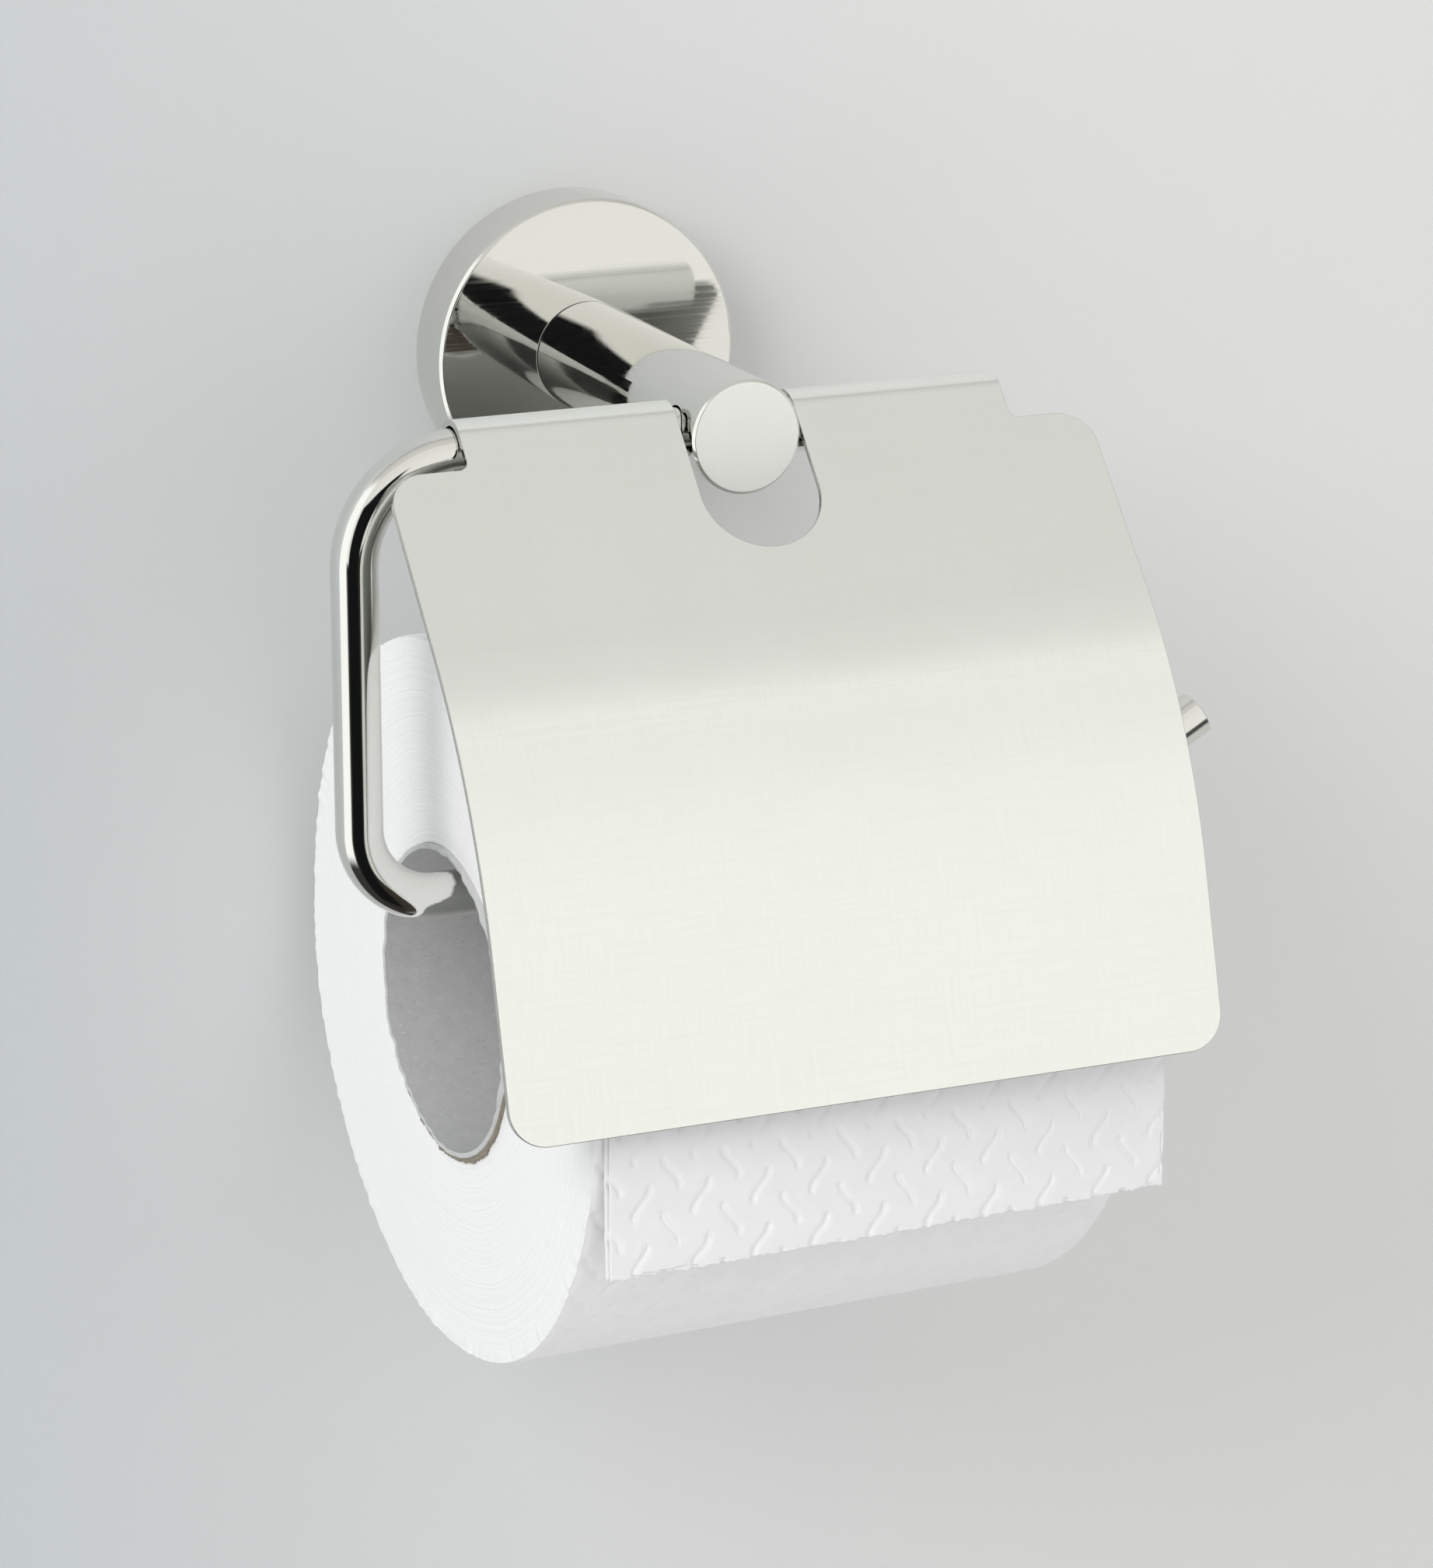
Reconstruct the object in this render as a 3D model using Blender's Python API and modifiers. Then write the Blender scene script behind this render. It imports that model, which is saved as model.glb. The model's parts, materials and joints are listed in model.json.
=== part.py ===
"""A wall-mounted toilet paper holder with a hinged sheet-metal lid, holding a roll.

Metres, +Z up. The origin is the centre of the wall plate's back face: the wall is
the plane y = 0, the holder stands out from it along -Y, and +X is to the right for
someone who faces the wall.
"""
import math

import bmesh
import bpy
from mathutils import Matrix, Vector

# ---- driving dimensions -------------------------------------------------------
GAP = 0.0003                 # between pieces that touch

ROSETTE_RADIUS = 0.0265
ROSETTE_DEPTH = 0.0115       # from the wall to its front face
ROSETTE_WALL = 0.002
ROSETTE_CHAMFER = 0.0006

PLATE_RADIUS = 0.020         # the flange that the rosette's grub screw hooks behind
PLATE_NECK_RADIUS = 0.0175
PLATE_NECK = 0.0055          # length of the neck, from the wall
PLATE_DEPTH = 0.0085
PLATE_RECESS_RADIUS = 0.008  # blind recess in front, room for the post screw's head
PLATE_FLOOR = 0.0025

WALL_SCREW_SPREAD = 0.0125   # each wall screw's distance from the centre
WALL_SCREW_RADIUS = 0.002
WALL_SCREW_REACH = 0.030     # how far it goes into the wall
WALL_SCREW_HEAD_RADIUS = 0.0038
PLUG_RADIUS = 0.0032
PLUG_DEPTH = 0.0024          # how far below the wall's surface it sits

POST_RADIUS = 0.0092
POST_END = 0.0785            # the post's front face, from the wall
POST_CHAMFER = 0.0005
POST_SCREW_RADIUS = 0.0025
POST_SCREW_HEAD_RADIUS = 0.0043
POST_SCREW_REACH = 0.013     # length of the screw inside the post

GRUB_RADIUS = 0.002
HEX_FLATS = 0.002            # across the flats of every hexagon socket

ROD_RADIUS = 0.0038
ROD_AXIS_Y = -0.070          # plane of the whole bent rod
ROD_STUB_X = 0.0455          # right-hand end of the upper run
ROD_LEG_X = -0.0625
ROD_DROP = 0.0715            # from the upper run down to the lower run
ROD_TOP_BEND = 0.017
ROD_LOW_BEND = 0.0125
ROD_TIP_ANGLE = math.radians(30)
ROD_TIP_START_X = 0.0565
ROD_TIP_BEND = 0.012
ROD_TIP_LENGTH = 0.0270      # straight stretch after the tip's bend

SHEET = 0.001                # the lid's thickness
LID_HALF_WIDTH = 0.060
LID_CORNER = 0.006
KNUCKLE_INNER_X = 0.010      # half the width of the slot between the knuckles
KNUCKLE_OUTER_X = 0.0463
KNUCKLE_FILLET = 0.0015
KNUCKLE_WRAP = math.radians(275)
SHOULDER_START = 0.0060      # along the sheet, from where it leaves the curl
SLOT_BOTTOM = 0.0246
LID_LENGTH = 0.1133
LID_UPPER_ANGLE = math.radians(47.5)   # below the horizontal
LID_LOWER_ANGLE = math.radians(74.6)
LID_UPPER_FLAT = 0.0367
LID_BEND_RADIUS = 0.1032

CORE_INNER_RADIUS = 0.0250
CORE_WALL = 0.001
ROLL_RADIUS = 0.0592
ROLL_LENGTH = 0.0956
ROLL_CENTRE_X = 0.0005
ROLL_CENTRE_Y = -0.0639
ROLL_YAW = math.radians(2.0)     # the loose roll has turned a little on the rod

TAIL_THICKNESS = 0.0006
TAIL_WIDTH = 0.0965
TAIL_TOP_Z = -0.0955         # just below the lid's lower edge
TAIL_BOTTOM_Z = -0.1180
TAIL_SHIFT = 0.0029          # the free end hangs a little to the right of the roll

# ---- worked out from them -----------------------------------------------------
POST_START = ROSETTE_DEPTH + GAP
CURL_RADIUS = ROD_RADIUS + GAP + SHEET / 2         # middle of the curled sheet
ROD_TO_ROLL_AXIS = CORE_INNER_RADIUS - ROD_RADIUS - GAP    # where the rod touches the core
TOUCH_Y = ROLL_CENTRE_Y + ROLL_LENGTH / 2 * math.tan(ROLL_YAW) - ROD_AXIS_Y
ROLL_CENTRE_Z = -ROD_DROP - math.sqrt(ROD_TO_ROLL_AXIS ** 2 - TOUCH_Y ** 2)
LID_BEND_LENGTH = LID_BEND_RADIUS * (LID_LOWER_ANGLE - LID_UPPER_ANGLE)

GRUB_Y = 0.0030              # the rosette's grub screw, from the wall

OUT_OF_WALL = Matrix.Rotation(math.radians(90), 4, "X")    # local +Z points along -Y
ALONG_X = Matrix.Rotation(math.radians(90), 4, "Y")        # local +Z points along +X
DOWNWARD = Matrix.Rotation(math.radians(180), 4, "X")      # local +Z points along -Z
ROLL_CENTRE = (ROLL_CENTRE_X, ROLL_CENTRE_Y, ROLL_CENTRE_Z)
ROLL_PLACE = Matrix.Translation(ROLL_CENTRE) @ Matrix.Rotation(ROLL_YAW, 4, "Z")


# ---- scene, materials and small helpers ---------------------------------------
def clear_scene():
    for thing in list(bpy.data.objects):
        bpy.data.objects.remove(thing, do_unlink=True)


def new_collection(name):
    collection = bpy.data.collections.new(name)
    bpy.context.scene.collection.children.link(collection)
    return collection


def material(name, colour, roughness, metallic=0.0):
    result = bpy.data.materials.new(name)
    result.use_nodes = True
    shader = result.node_tree.nodes["Principled BSDF"]
    shader.inputs["Base Color"].default_value = (*colour, 1.0)
    shader.inputs["Roughness"].default_value = roughness
    shader.inputs["Metallic"].default_value = metallic
    return result


def add_object(name, mesh, place, finish=None, collection=None):
    thing = bpy.data.objects.new(name, mesh)
    thing.matrix_world = place
    (collection or PARTS).objects.link(thing)
    if finish:
        mesh.materials.append(finish)
    return thing


def shade_round(mesh, angle=35):
    mesh.shade_smooth()
    mesh.set_sharp_from_angle(angle=math.radians(angle))


def turned(name, profile, place, finish, steps=64, closed=False):
    """A turned piece: (radius, height) points, down the outer side, about local Z."""
    mesh = bpy.data.meshes.new(name)
    edges = [(i, i + 1) for i in range(len(profile) - 1)]
    if closed:
        edges.append((len(profile) - 1, 0))
    mesh.from_pydata([(radius, 0.0, height) for radius, height in profile], edges, [])
    thing = add_object(name, mesh, place, finish)
    screw = thing.modifiers.new("turn", "SCREW")
    screw.axis = "Z"
    screw.steps = steps
    screw.render_steps = steps
    screw.use_merge_vertices = True
    screw.merge_threshold = 0.00001
    screw.use_smooth_shade = True
    return thing


def cut(thing, cutter):
    boolean = thing.modifiers.new("cut_" + cutter.name, "BOOLEAN")
    boolean.operation = "DIFFERENCE"
    boolean.object = cutter
    boolean.solver = "EXACT"


def hide_cutter(cutter):
    cutter.hide_render = True
    cutter.display_type = "WIRE"
    return cutter


def cylinder_cutter(name, radius, length, place, segments=48):
    """A round cutter from the place's origin along its local +Z."""
    mesh = bpy.data.meshes.new(name)
    bm = bmesh.new()
    bmesh.ops.create_cone(bm, cap_ends=True, segments=segments, radius1=radius, radius2=radius,
                          depth=length, matrix=Matrix.Translation((0, 0, length / 2)))
    bm.to_mesh(mesh)
    bm.free()
    return hide_cutter(add_object(name, mesh, place, collection=CUTTERS))


def cross_cutter(name, width, length, depth, place):
    """A plus-shaped cutter for a cross-head recess, centred on the place's origin."""
    a = width / 2
    b = length / 2
    arm = [(a, a), (a, b), (-a, b)]
    outline = arm + [(-y, x) for x, y in arm] + [(-x, -y) for x, y in arm]
    outline += [(y, -x) for x, y in arm]
    mesh = bpy.data.meshes.new(name)
    bm = bmesh.new()
    face = bm.faces.new([bm.verts.new((x, y, -depth)) for x, y in outline])
    grown = bmesh.ops.extrude_face_region(bm, geom=[face])["geom"]
    top = [item for item in grown if isinstance(item, bmesh.types.BMVert)]
    bmesh.ops.translate(bm, vec=(0, 0, 2 * depth), verts=top)
    bmesh.ops.recalc_face_normals(bm, faces=bm.faces[:])
    bm.to_mesh(mesh)
    bm.free()
    return hide_cutter(add_object(name, mesh, place, collection=CUTTERS))


# ---- the wall fixing ----------------------------------------------------------
def wall_plate():
    profile = [
        (0.0, PLATE_FLOOR),
        (PLATE_RECESS_RADIUS, PLATE_FLOOR),
        (PLATE_RECESS_RADIUS, PLATE_DEPTH),
        (PLATE_RADIUS, PLATE_DEPTH),
        (PLATE_RADIUS, PLATE_NECK),
        (PLATE_NECK_RADIUS, PLATE_NECK),
        (PLATE_NECK_RADIUS, 0.0),
        (0.0, 0.0),
    ]
    plate = turned("wall_plate", profile, OUT_OF_WALL, STEEL)
    for side in (-1, 1):
        label = "left" if side < 0 else "right"
        centre = Vector((side * WALL_SCREW_SPREAD, 0, 0))
        behind = Matrix.Translation(centre + Vector((0, 0.001, 0))) @ OUT_OF_WALL
        hole = cylinder_cutter("hole_" + label, WALL_SCREW_RADIUS + GAP, 0.012, behind, 32)
        cut(plate, hole)
        cut(plate, countersink_cutter("sink_" + label, centre))


def countersink_cutter(name, centre):
    """The conical seat of a wall screw's head, open to the plate's front face."""
    mesh = bpy.data.meshes.new(name)
    slope = WALL_SCREW_HEAD_RADIUS - WALL_SCREW_RADIUS
    bottom_radius = WALL_SCREW_RADIUS + GAP
    extra = 0.001
    bm = bmesh.new()
    bmesh.ops.create_cone(bm, cap_ends=True, segments=32, radius1=bottom_radius,
                          radius2=bottom_radius + slope + extra, depth=slope + extra,
                          matrix=Matrix.Translation((0, 0, (slope + extra) / 2)))
    bm.to_mesh(mesh)
    bm.free()
    seat = centre + Vector((0, -(PLATE_DEPTH - slope), 0))
    cutter = add_object(name, mesh, Matrix.Translation(seat) @ OUT_OF_WALL, collection=CUTTERS)
    return hide_cutter(cutter)


def wall_screw(label, side):
    """A countersunk cross-head screw. Local Z = 0 is the top of its head."""
    head = WALL_SCREW_HEAD_RADIUS - WALL_SCREW_RADIUS
    sunk = 0.0002
    top = PLATE_DEPTH - sunk
    end = -(top + WALL_SCREW_REACH)
    profile = [
        (0.0, 0.0),
        (WALL_SCREW_HEAD_RADIUS - sunk, 0.0),
        (WALL_SCREW_RADIUS, sunk - head),
        (WALL_SCREW_RADIUS, end + 0.004),
        (0.0, end),
    ]
    place = Matrix.Translation((side * WALL_SCREW_SPREAD, -top, 0)) @ OUT_OF_WALL
    screw = turned("wall_screw_" + label, profile, place, ZINC, steps=32)
    cut(screw, cross_cutter("cross_" + label, 0.0008, 0.0038, 0.0012, place))


def wall_plug(label, side):
    """The plastic plug in the wall: a plain sleeve around the screw."""
    bore = WALL_SCREW_RADIUS + GAP
    back = -WALL_SCREW_REACH + 0.002
    profile = [
        (bore, -PLUG_DEPTH),
        (PLUG_RADIUS, -PLUG_DEPTH),
        (PLUG_RADIUS, back),
        (bore, back),
    ]
    place = Matrix.Translation((side * WALL_SCREW_SPREAD, 0, 0)) @ OUT_OF_WALL
    turned("wall_plug_" + label, profile, place, NYLON, steps=32, closed=True)


# ---- rosette and post ---------------------------------------------------------
def rosette():
    """The cup that hides the wall plate, held by a grub screw from below."""
    inner = ROSETTE_RADIUS - ROSETTE_WALL
    floor = ROSETTE_DEPTH - ROSETTE_WALL
    bore = POST_SCREW_RADIUS + GAP
    profile = [
        (bore, ROSETTE_DEPTH),
        (ROSETTE_RADIUS - ROSETTE_CHAMFER, ROSETTE_DEPTH),
        (ROSETTE_RADIUS, ROSETTE_DEPTH - ROSETTE_CHAMFER),
        (ROSETTE_RADIUS, 0.0),
        (inner, 0.0),
        (inner, floor),
        (bore, floor),
    ]
    cup = turned("rosette", profile, OUT_OF_WALL, POLISHED, steps=96, closed=True)
    place = Matrix.Translation((0, -GRUB_Y, -inner + 0.001)) @ DOWNWARD
    cut(cup, cylinder_cutter("grub_hole", GRUB_RADIUS + GAP, 0.006, place, 32))


def grub_screw(name, length, place):
    """A headless screw with a cone point. Local Z = 0 is its socket end, it runs down."""
    cone = 0.0011
    point_radius = GRUB_RADIUS - cone
    chamfer = 0.0003
    profile = [
        (0.0, 0.0),
        (GRUB_RADIUS - chamfer, 0.0),
        (GRUB_RADIUS, -chamfer),
        (GRUB_RADIUS, cone - length),
        (point_radius, -length),
        (0.0, -length),
    ]
    screw = turned(name, profile, place, DARK_STEEL, steps=32)
    cut(screw, hex_cutter(name + "_socket", 0.0018, place))


def hex_cutter(name, depth, place):
    radius = HEX_FLATS / 2 / math.cos(math.radians(30))
    start = place @ Matrix.Translation((0, 0, -depth))
    return cylinder_cutter(name, radius, depth + 0.001, start, segments=6)


def rosette_grub_screw():
    """Its point stands in the groove behind the wall plate's flange."""
    socket_end = ROSETTE_RADIUS - 0.0006
    length = socket_end - PLATE_NECK_RADIUS - GAP
    place = Matrix.Translation((0, -GRUB_Y, -socket_end)) @ DOWNWARD
    grub_screw("rosette_grub_screw", length, place)


def post():
    screw_hole = POST_START + POST_SCREW_REACH + 0.001
    bore = POST_SCREW_RADIUS + GAP
    profile = [
        (0.0, POST_END),
        (POST_RADIUS - POST_CHAMFER, POST_END),
        (POST_RADIUS, POST_END - POST_CHAMFER),
        (POST_RADIUS, POST_START),
        (bore, POST_START),
        (bore, screw_hole),
        (0.0, screw_hole),
    ]
    bar = turned("post", profile, OUT_OF_WALL, POLISHED, steps=72)
    across = Matrix.Translation((-0.015, ROD_AXIS_Y, 0)) @ ALONG_X
    cut(bar, cylinder_cutter("rod_hole", ROD_RADIUS + GAP, 0.030, across, 48))
    below = Matrix.Translation((0, ROD_AXIS_Y, -0.001)) @ DOWNWARD
    cut(bar, cylinder_cutter("rod_grub_hole", GRUB_RADIUS + GAP, 0.012, below, 32))


def rod_grub_screw():
    """Clamps the rod in the post, from the post's underside."""
    socket_end = POST_RADIUS - 0.0006
    length = socket_end - ROD_RADIUS - GAP
    place = Matrix.Translation((0, ROD_AXIS_Y, -socket_end)) @ DOWNWARD
    grub_screw("rod_grub_screw", length, place)


def post_screw():
    """The screw that holds the post on the rosette, from inside the cup."""
    washer_back = ROSETTE_DEPTH - ROSETTE_WALL - GAP
    washer_front = washer_back - 0.0008
    profile = [
        (POST_SCREW_RADIUS + GAP, washer_back),
        (0.0055, washer_back),
        (0.0055, washer_front),
        (POST_SCREW_RADIUS + GAP, washer_front),
    ]
    turned("post_washer", profile, OUT_OF_WALL, ZINC, steps=40, closed=True)
    head_top = washer_front - GAP
    head_bottom = head_top - 0.0028
    rounding = 0.0005
    profile = [
        (0.0, POST_START + POST_SCREW_REACH),
        (POST_SCREW_RADIUS - rounding, POST_START + POST_SCREW_REACH),
        (POST_SCREW_RADIUS, POST_START + POST_SCREW_REACH - rounding),
        (POST_SCREW_RADIUS, head_top),
        (POST_SCREW_HEAD_RADIUS, head_top),
        (POST_SCREW_HEAD_RADIUS, head_bottom + rounding),
        (POST_SCREW_HEAD_RADIUS - rounding, head_bottom),
        (0.0, head_bottom),
    ]
    screw = turned("post_screw", profile, OUT_OF_WALL, ZINC, steps=40)
    mouth = Matrix.Translation((0, -head_bottom, 0)) @ OUT_OF_WALL @ DOWNWARD
    cut(screw, hex_cutter("post_screw_socket", 0.0016, mouth))


# ---- the bent rod -------------------------------------------------------------
def arc_points(centre, radius, start, end, count):
    """Points on an arc in the XZ plane, from angle start to end."""
    for i in range(count + 1):
        angle = start + (end - start) * i / count
        yield (centre[0] + radius * math.cos(angle), centre[1] + radius * math.sin(angle))


def rod_path():
    """The rod's centre line in the XZ plane: upper run, leg, lower run and raised tip."""
    quarter = math.pi / 2
    path = [(ROD_STUB_X, 0.0)]
    top = (ROD_LEG_X + ROD_TOP_BEND, -ROD_TOP_BEND)
    path += arc_points(top, ROD_TOP_BEND, quarter, 2 * quarter, 12)
    low = (ROD_LEG_X + ROD_LOW_BEND, -ROD_DROP + ROD_LOW_BEND)
    path += arc_points(low, ROD_LOW_BEND, 2 * quarter, 3 * quarter, 12)
    tip = (ROD_TIP_START_X, -ROD_DROP + ROD_TIP_BEND)
    path += arc_points(tip, ROD_TIP_BEND, -quarter, -quarter + ROD_TIP_ANGLE, 5)
    end_x, end_z = path[-1]
    path.append((end_x + ROD_TIP_LENGTH * math.cos(ROD_TIP_ANGLE),
                 end_z + ROD_TIP_LENGTH * math.sin(ROD_TIP_ANGLE)))
    return path


def rod():
    curve = bpy.data.curves.new("rod", "CURVE")
    curve.dimensions = "3D"
    curve.bevel_depth = ROD_RADIUS
    curve.bevel_resolution = 6
    curve.use_fill_caps = True
    path = rod_path()
    spline = curve.splines.new("POLY")
    spline.points.add(len(path) - 1)
    for point, (x, z) in zip(spline.points, path):
        point.co = (x, 0.0, z, 1.0)
    spline.use_smooth = True
    add_object("rod", curve, Matrix.Translation((0, ROD_AXIS_Y, 0)), POLISHED)


# ---- the lid ------------------------------------------------------------------
def lid_profile(distance):
    """(y, z) on the middle of the lid's sheet, from its hinge axis, along the sheet.

    Distance 0 is where the sheet leaves the curl: the curl has negative distances.
    """
    upper = LID_UPPER_ANGLE
    if distance < 0:
        turn = -distance / CURL_RADIUS
        angle = math.pi / 2 + upper - turn
        return CURL_RADIUS * math.cos(angle), CURL_RADIUS * math.sin(angle)
    y = -CURL_RADIUS * math.sin(upper)
    z = CURL_RADIUS * math.cos(upper)
    flat = min(distance, LID_UPPER_FLAT)
    y -= flat * math.cos(upper)
    z -= flat * math.sin(upper)
    bent = min(max(distance - LID_UPPER_FLAT, 0.0), LID_BEND_LENGTH)
    angle = upper + bent / LID_BEND_RADIUS
    y -= LID_BEND_RADIUS * (math.sin(angle) - math.sin(upper))
    z += LID_BEND_RADIUS * (math.cos(angle) - math.cos(upper))
    last = max(distance - LID_UPPER_FLAT - LID_BEND_LENGTH, 0.0)
    y -= last * math.cos(LID_LOWER_ANGLE)
    z -= last * math.sin(LID_LOWER_ANGLE)
    return y, z


def fold_lines():
    """Distances along the sheet at which its flat blank is folded."""
    curl = KNUCKLE_WRAP * CURL_RADIUS
    curl_folds = 20
    bend_folds = 10
    lines = [-curl + curl * i / curl_folds for i in range(curl_folds + 1)]
    lines += [LID_UPPER_FLAT + LID_BEND_LENGTH * i / bend_folds for i in range(bend_folds + 1)]
    return lines + [LID_LENGTH]


def half_blank():
    """The right half of the lid's flat blank as (x, distance), bottom to slot."""
    def corner(x, along, radius, start, end, count):
        return arc_points((x, along), radius, math.radians(start), math.radians(end), count)

    inset = LID_HALF_WIDTH - LID_CORNER
    slot_centre = SLOT_BOTTOM - KNUCKLE_INNER_X
    fillet = KNUCKLE_OUTER_X + KNUCKLE_FILLET
    curl_end = -KNUCKLE_WRAP * CURL_RADIUS
    outline = []
    outline += corner(inset, LID_LENGTH - LID_CORNER, LID_CORNER, 90, 0, 8)
    outline += corner(inset, SHOULDER_START + LID_CORNER, LID_CORNER, 0, -90, 8)
    outline += corner(fillet, SHOULDER_START - KNUCKLE_FILLET, KNUCKLE_FILLET, 90, 180, 4)
    outline += [(KNUCKLE_OUTER_X, curl_end), (KNUCKLE_INNER_X, curl_end)]
    outline += list(corner(0.0, slot_centre, KNUCKLE_INNER_X, 0, 90, 10))[:-1]
    return outline


def lid():
    """Cut the flat blank's outline, cut it again at each fold line, and fold it."""
    half = half_blank()
    outline = half + [(0.0, SLOT_BOTTOM)] + [(-x, along) for x, along in reversed(half)]
    bm = bmesh.new()
    bm.faces.new([bm.verts.new((x, along, 0.0)) for x, along in outline])
    folds = fold_lines()
    for line in folds[1:-1]:
        everything = bm.verts[:] + bm.edges[:] + bm.faces[:]
        bmesh.ops.bisect_plane(bm, geom=everything, dist=0.0000001,
                               plane_co=(0, line, 0), plane_no=(0, 1, 0))
    for vert in bm.verts:
        x, along = vert.co.x, vert.co.y
        before = max((line for line in folds if line <= along + 1e-7), default=folds[0])
        after = min((line for line in folds if line > along + 1e-7), default=folds[-1])
        share = (along - before) / (after - before) if after > before else 0.0
        start = Vector((x, *lid_profile(before)))
        vert.co = start.lerp(Vector((x, *lid_profile(after))), share)
    bmesh.ops.recalc_face_normals(bm, faces=bm.faces[:])
    mesh = bpy.data.meshes.new("lid")
    bm.to_mesh(mesh)
    bm.free()
    shade_round(mesh, 25)
    sheet = add_object("lid", mesh, Matrix.Translation((0, ROD_AXIS_Y, 0)), BRUSHED)
    solidify = sheet.modifiers.new("sheet", "SOLIDIFY")
    solidify.thickness = SHEET
    solidify.offset = 0.0
    solidify.use_even_offset = True


# ---- the paper ----------------------------------------------------------------
def roll_ring(name, inner, outer, length, finish):
    """A ring about the roll's own axis, centred on the roll."""
    profile = [
        (inner, length / 2),
        (outer, length / 2),
        (outer, -length / 2),
        (inner, -length / 2),
    ]
    turned(name, profile, ROLL_PLACE @ ALONG_X, finish, steps=96, closed=True)


def roll():
    core_outer = CORE_INNER_RADIUS + CORE_WALL
    core_length = ROLL_LENGTH + 0.0008
    roll_ring("cardboard_core", CORE_INNER_RADIUS, core_outer, core_length, CARDBOARD)
    roll_ring("paper_roll", core_outer + GAP, ROLL_RADIUS, ROLL_LENGTH, PAPER)


def paper_tail():
    """The free end of the paper. Its origin is the line that it swings about."""
    height = TAIL_TOP_Z - TAIL_BOTTOM_Z
    mesh = bpy.data.meshes.new("paper_tail")
    bm = bmesh.new()
    bmesh.ops.create_cube(bm, size=1.0)
    bmesh.ops.scale(bm, vec=(TAIL_WIDTH, TAIL_THICKNESS, height), verts=bm.verts)
    bmesh.ops.translate(bm, vec=(TAIL_SHIFT, 0, -height / 2), verts=bm.verts)
    bm.to_mesh(mesh)
    bm.free()
    in_front = -(ROLL_RADIUS + GAP + TAIL_THICKNESS / 2)
    pivot = ROLL_PLACE @ Matrix.Translation((0, in_front, TAIL_TOP_Z - ROLL_CENTRE_Z))
    add_object("paper_tail", mesh, pivot, PAPER)


clear_scene()
PARTS = new_collection("toilet_paper_holder")
CUTTERS = new_collection("cutters")

POLISHED = material("polished_steel", (0.78, 0.78, 0.76), 0.06, 1.0)
BRUSHED = material("satin_steel", (0.74, 0.75, 0.72), 0.22, 1.0)
STEEL = material("plain_steel", (0.55, 0.55, 0.54), 0.40, 1.0)
ZINC = material("zinc_plated_steel", (0.66, 0.66, 0.64), 0.35, 1.0)
DARK_STEEL = material("dark_steel", (0.16, 0.16, 0.17), 0.35, 1.0)
NYLON = material("grey_nylon", (0.42, 0.43, 0.44), 0.50)
PAPER = material("white_paper", (0.90, 0.90, 0.88), 0.95)
CARDBOARD = material("grey_cardboard", (0.42, 0.41, 0.39), 0.90)

wall_plate()
for number, name in ((-1, "left"), (1, "right")):
    wall_screw(name, number)
    wall_plug(name, number)
rosette()
rosette_grub_screw()
post_screw()
post()
rod()
rod_grub_screw()
lid()
roll()
paper_tail()
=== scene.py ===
"""The looks of a toilet paper holder: polished steel, a folded sheet lid and a roll of paper.

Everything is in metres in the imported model's frame: the wall is the plane y = 0, the
holder stands out from it along -Y, +X is to the right seen from the front, +Z is up.
"""
import json
import math
import random

import bmesh
import bpy
import numpy as np
from mathutils import Matrix, Vector


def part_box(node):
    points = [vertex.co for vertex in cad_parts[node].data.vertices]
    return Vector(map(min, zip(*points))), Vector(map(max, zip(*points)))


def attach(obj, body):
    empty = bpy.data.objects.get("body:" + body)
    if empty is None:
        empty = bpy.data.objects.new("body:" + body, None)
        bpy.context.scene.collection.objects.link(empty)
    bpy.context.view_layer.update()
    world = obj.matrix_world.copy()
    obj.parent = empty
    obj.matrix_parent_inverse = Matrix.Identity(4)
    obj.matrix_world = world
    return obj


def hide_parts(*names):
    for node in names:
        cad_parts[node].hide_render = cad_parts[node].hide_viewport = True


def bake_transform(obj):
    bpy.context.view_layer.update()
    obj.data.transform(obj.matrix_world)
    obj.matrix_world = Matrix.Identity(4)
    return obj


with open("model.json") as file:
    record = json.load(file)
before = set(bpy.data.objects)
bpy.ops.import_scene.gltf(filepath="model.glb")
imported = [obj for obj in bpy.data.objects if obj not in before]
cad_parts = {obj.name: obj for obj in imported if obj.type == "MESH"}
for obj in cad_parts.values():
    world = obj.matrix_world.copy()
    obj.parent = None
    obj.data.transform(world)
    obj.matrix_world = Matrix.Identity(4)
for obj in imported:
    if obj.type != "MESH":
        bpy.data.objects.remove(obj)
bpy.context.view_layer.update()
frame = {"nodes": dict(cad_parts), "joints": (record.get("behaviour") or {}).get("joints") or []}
JOINTS = {joint["name"]: Vector(joint["pos_m"]) for joint in frame["joints"] if "pos_m" in joint}
NODES = frame["nodes"]
MM = 0.001

# ---- sizes, from the frame ------------------------------------------------------
ROD_LOW, ROD_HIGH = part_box("rod")
ROD_R = ROD_HIGH.z
HINGE = JOINTS["lid_hinge"]
ROLL_CENTRE = JOINTS["roll_spin"]
ROLL_AXIS = next(Vector(joint["axis"]) for joint in frame["joints"] if joint["name"] == "roll_spin")
ROLL_YAW = math.atan2(ROLL_AXIS.y, ROLL_AXIS.x)   # the loose roll hangs a little askew
ROLL_LOW, ROLL_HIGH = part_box("paper_roll")
CORE_LOW, CORE_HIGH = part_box("cardboard_core")
TAIL_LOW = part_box("paper_tail")[0]
LID_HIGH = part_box("lid")[1]
POST_LOW, POST_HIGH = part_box("post")
ROSETTE_LOW, ROSETTE_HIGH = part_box("rosette")
ROLL_R = (ROLL_HIGH.z - ROLL_LOW.z) / 2
CORE_R = (CORE_HIGH.z - CORE_LOW.z) / 2
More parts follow.
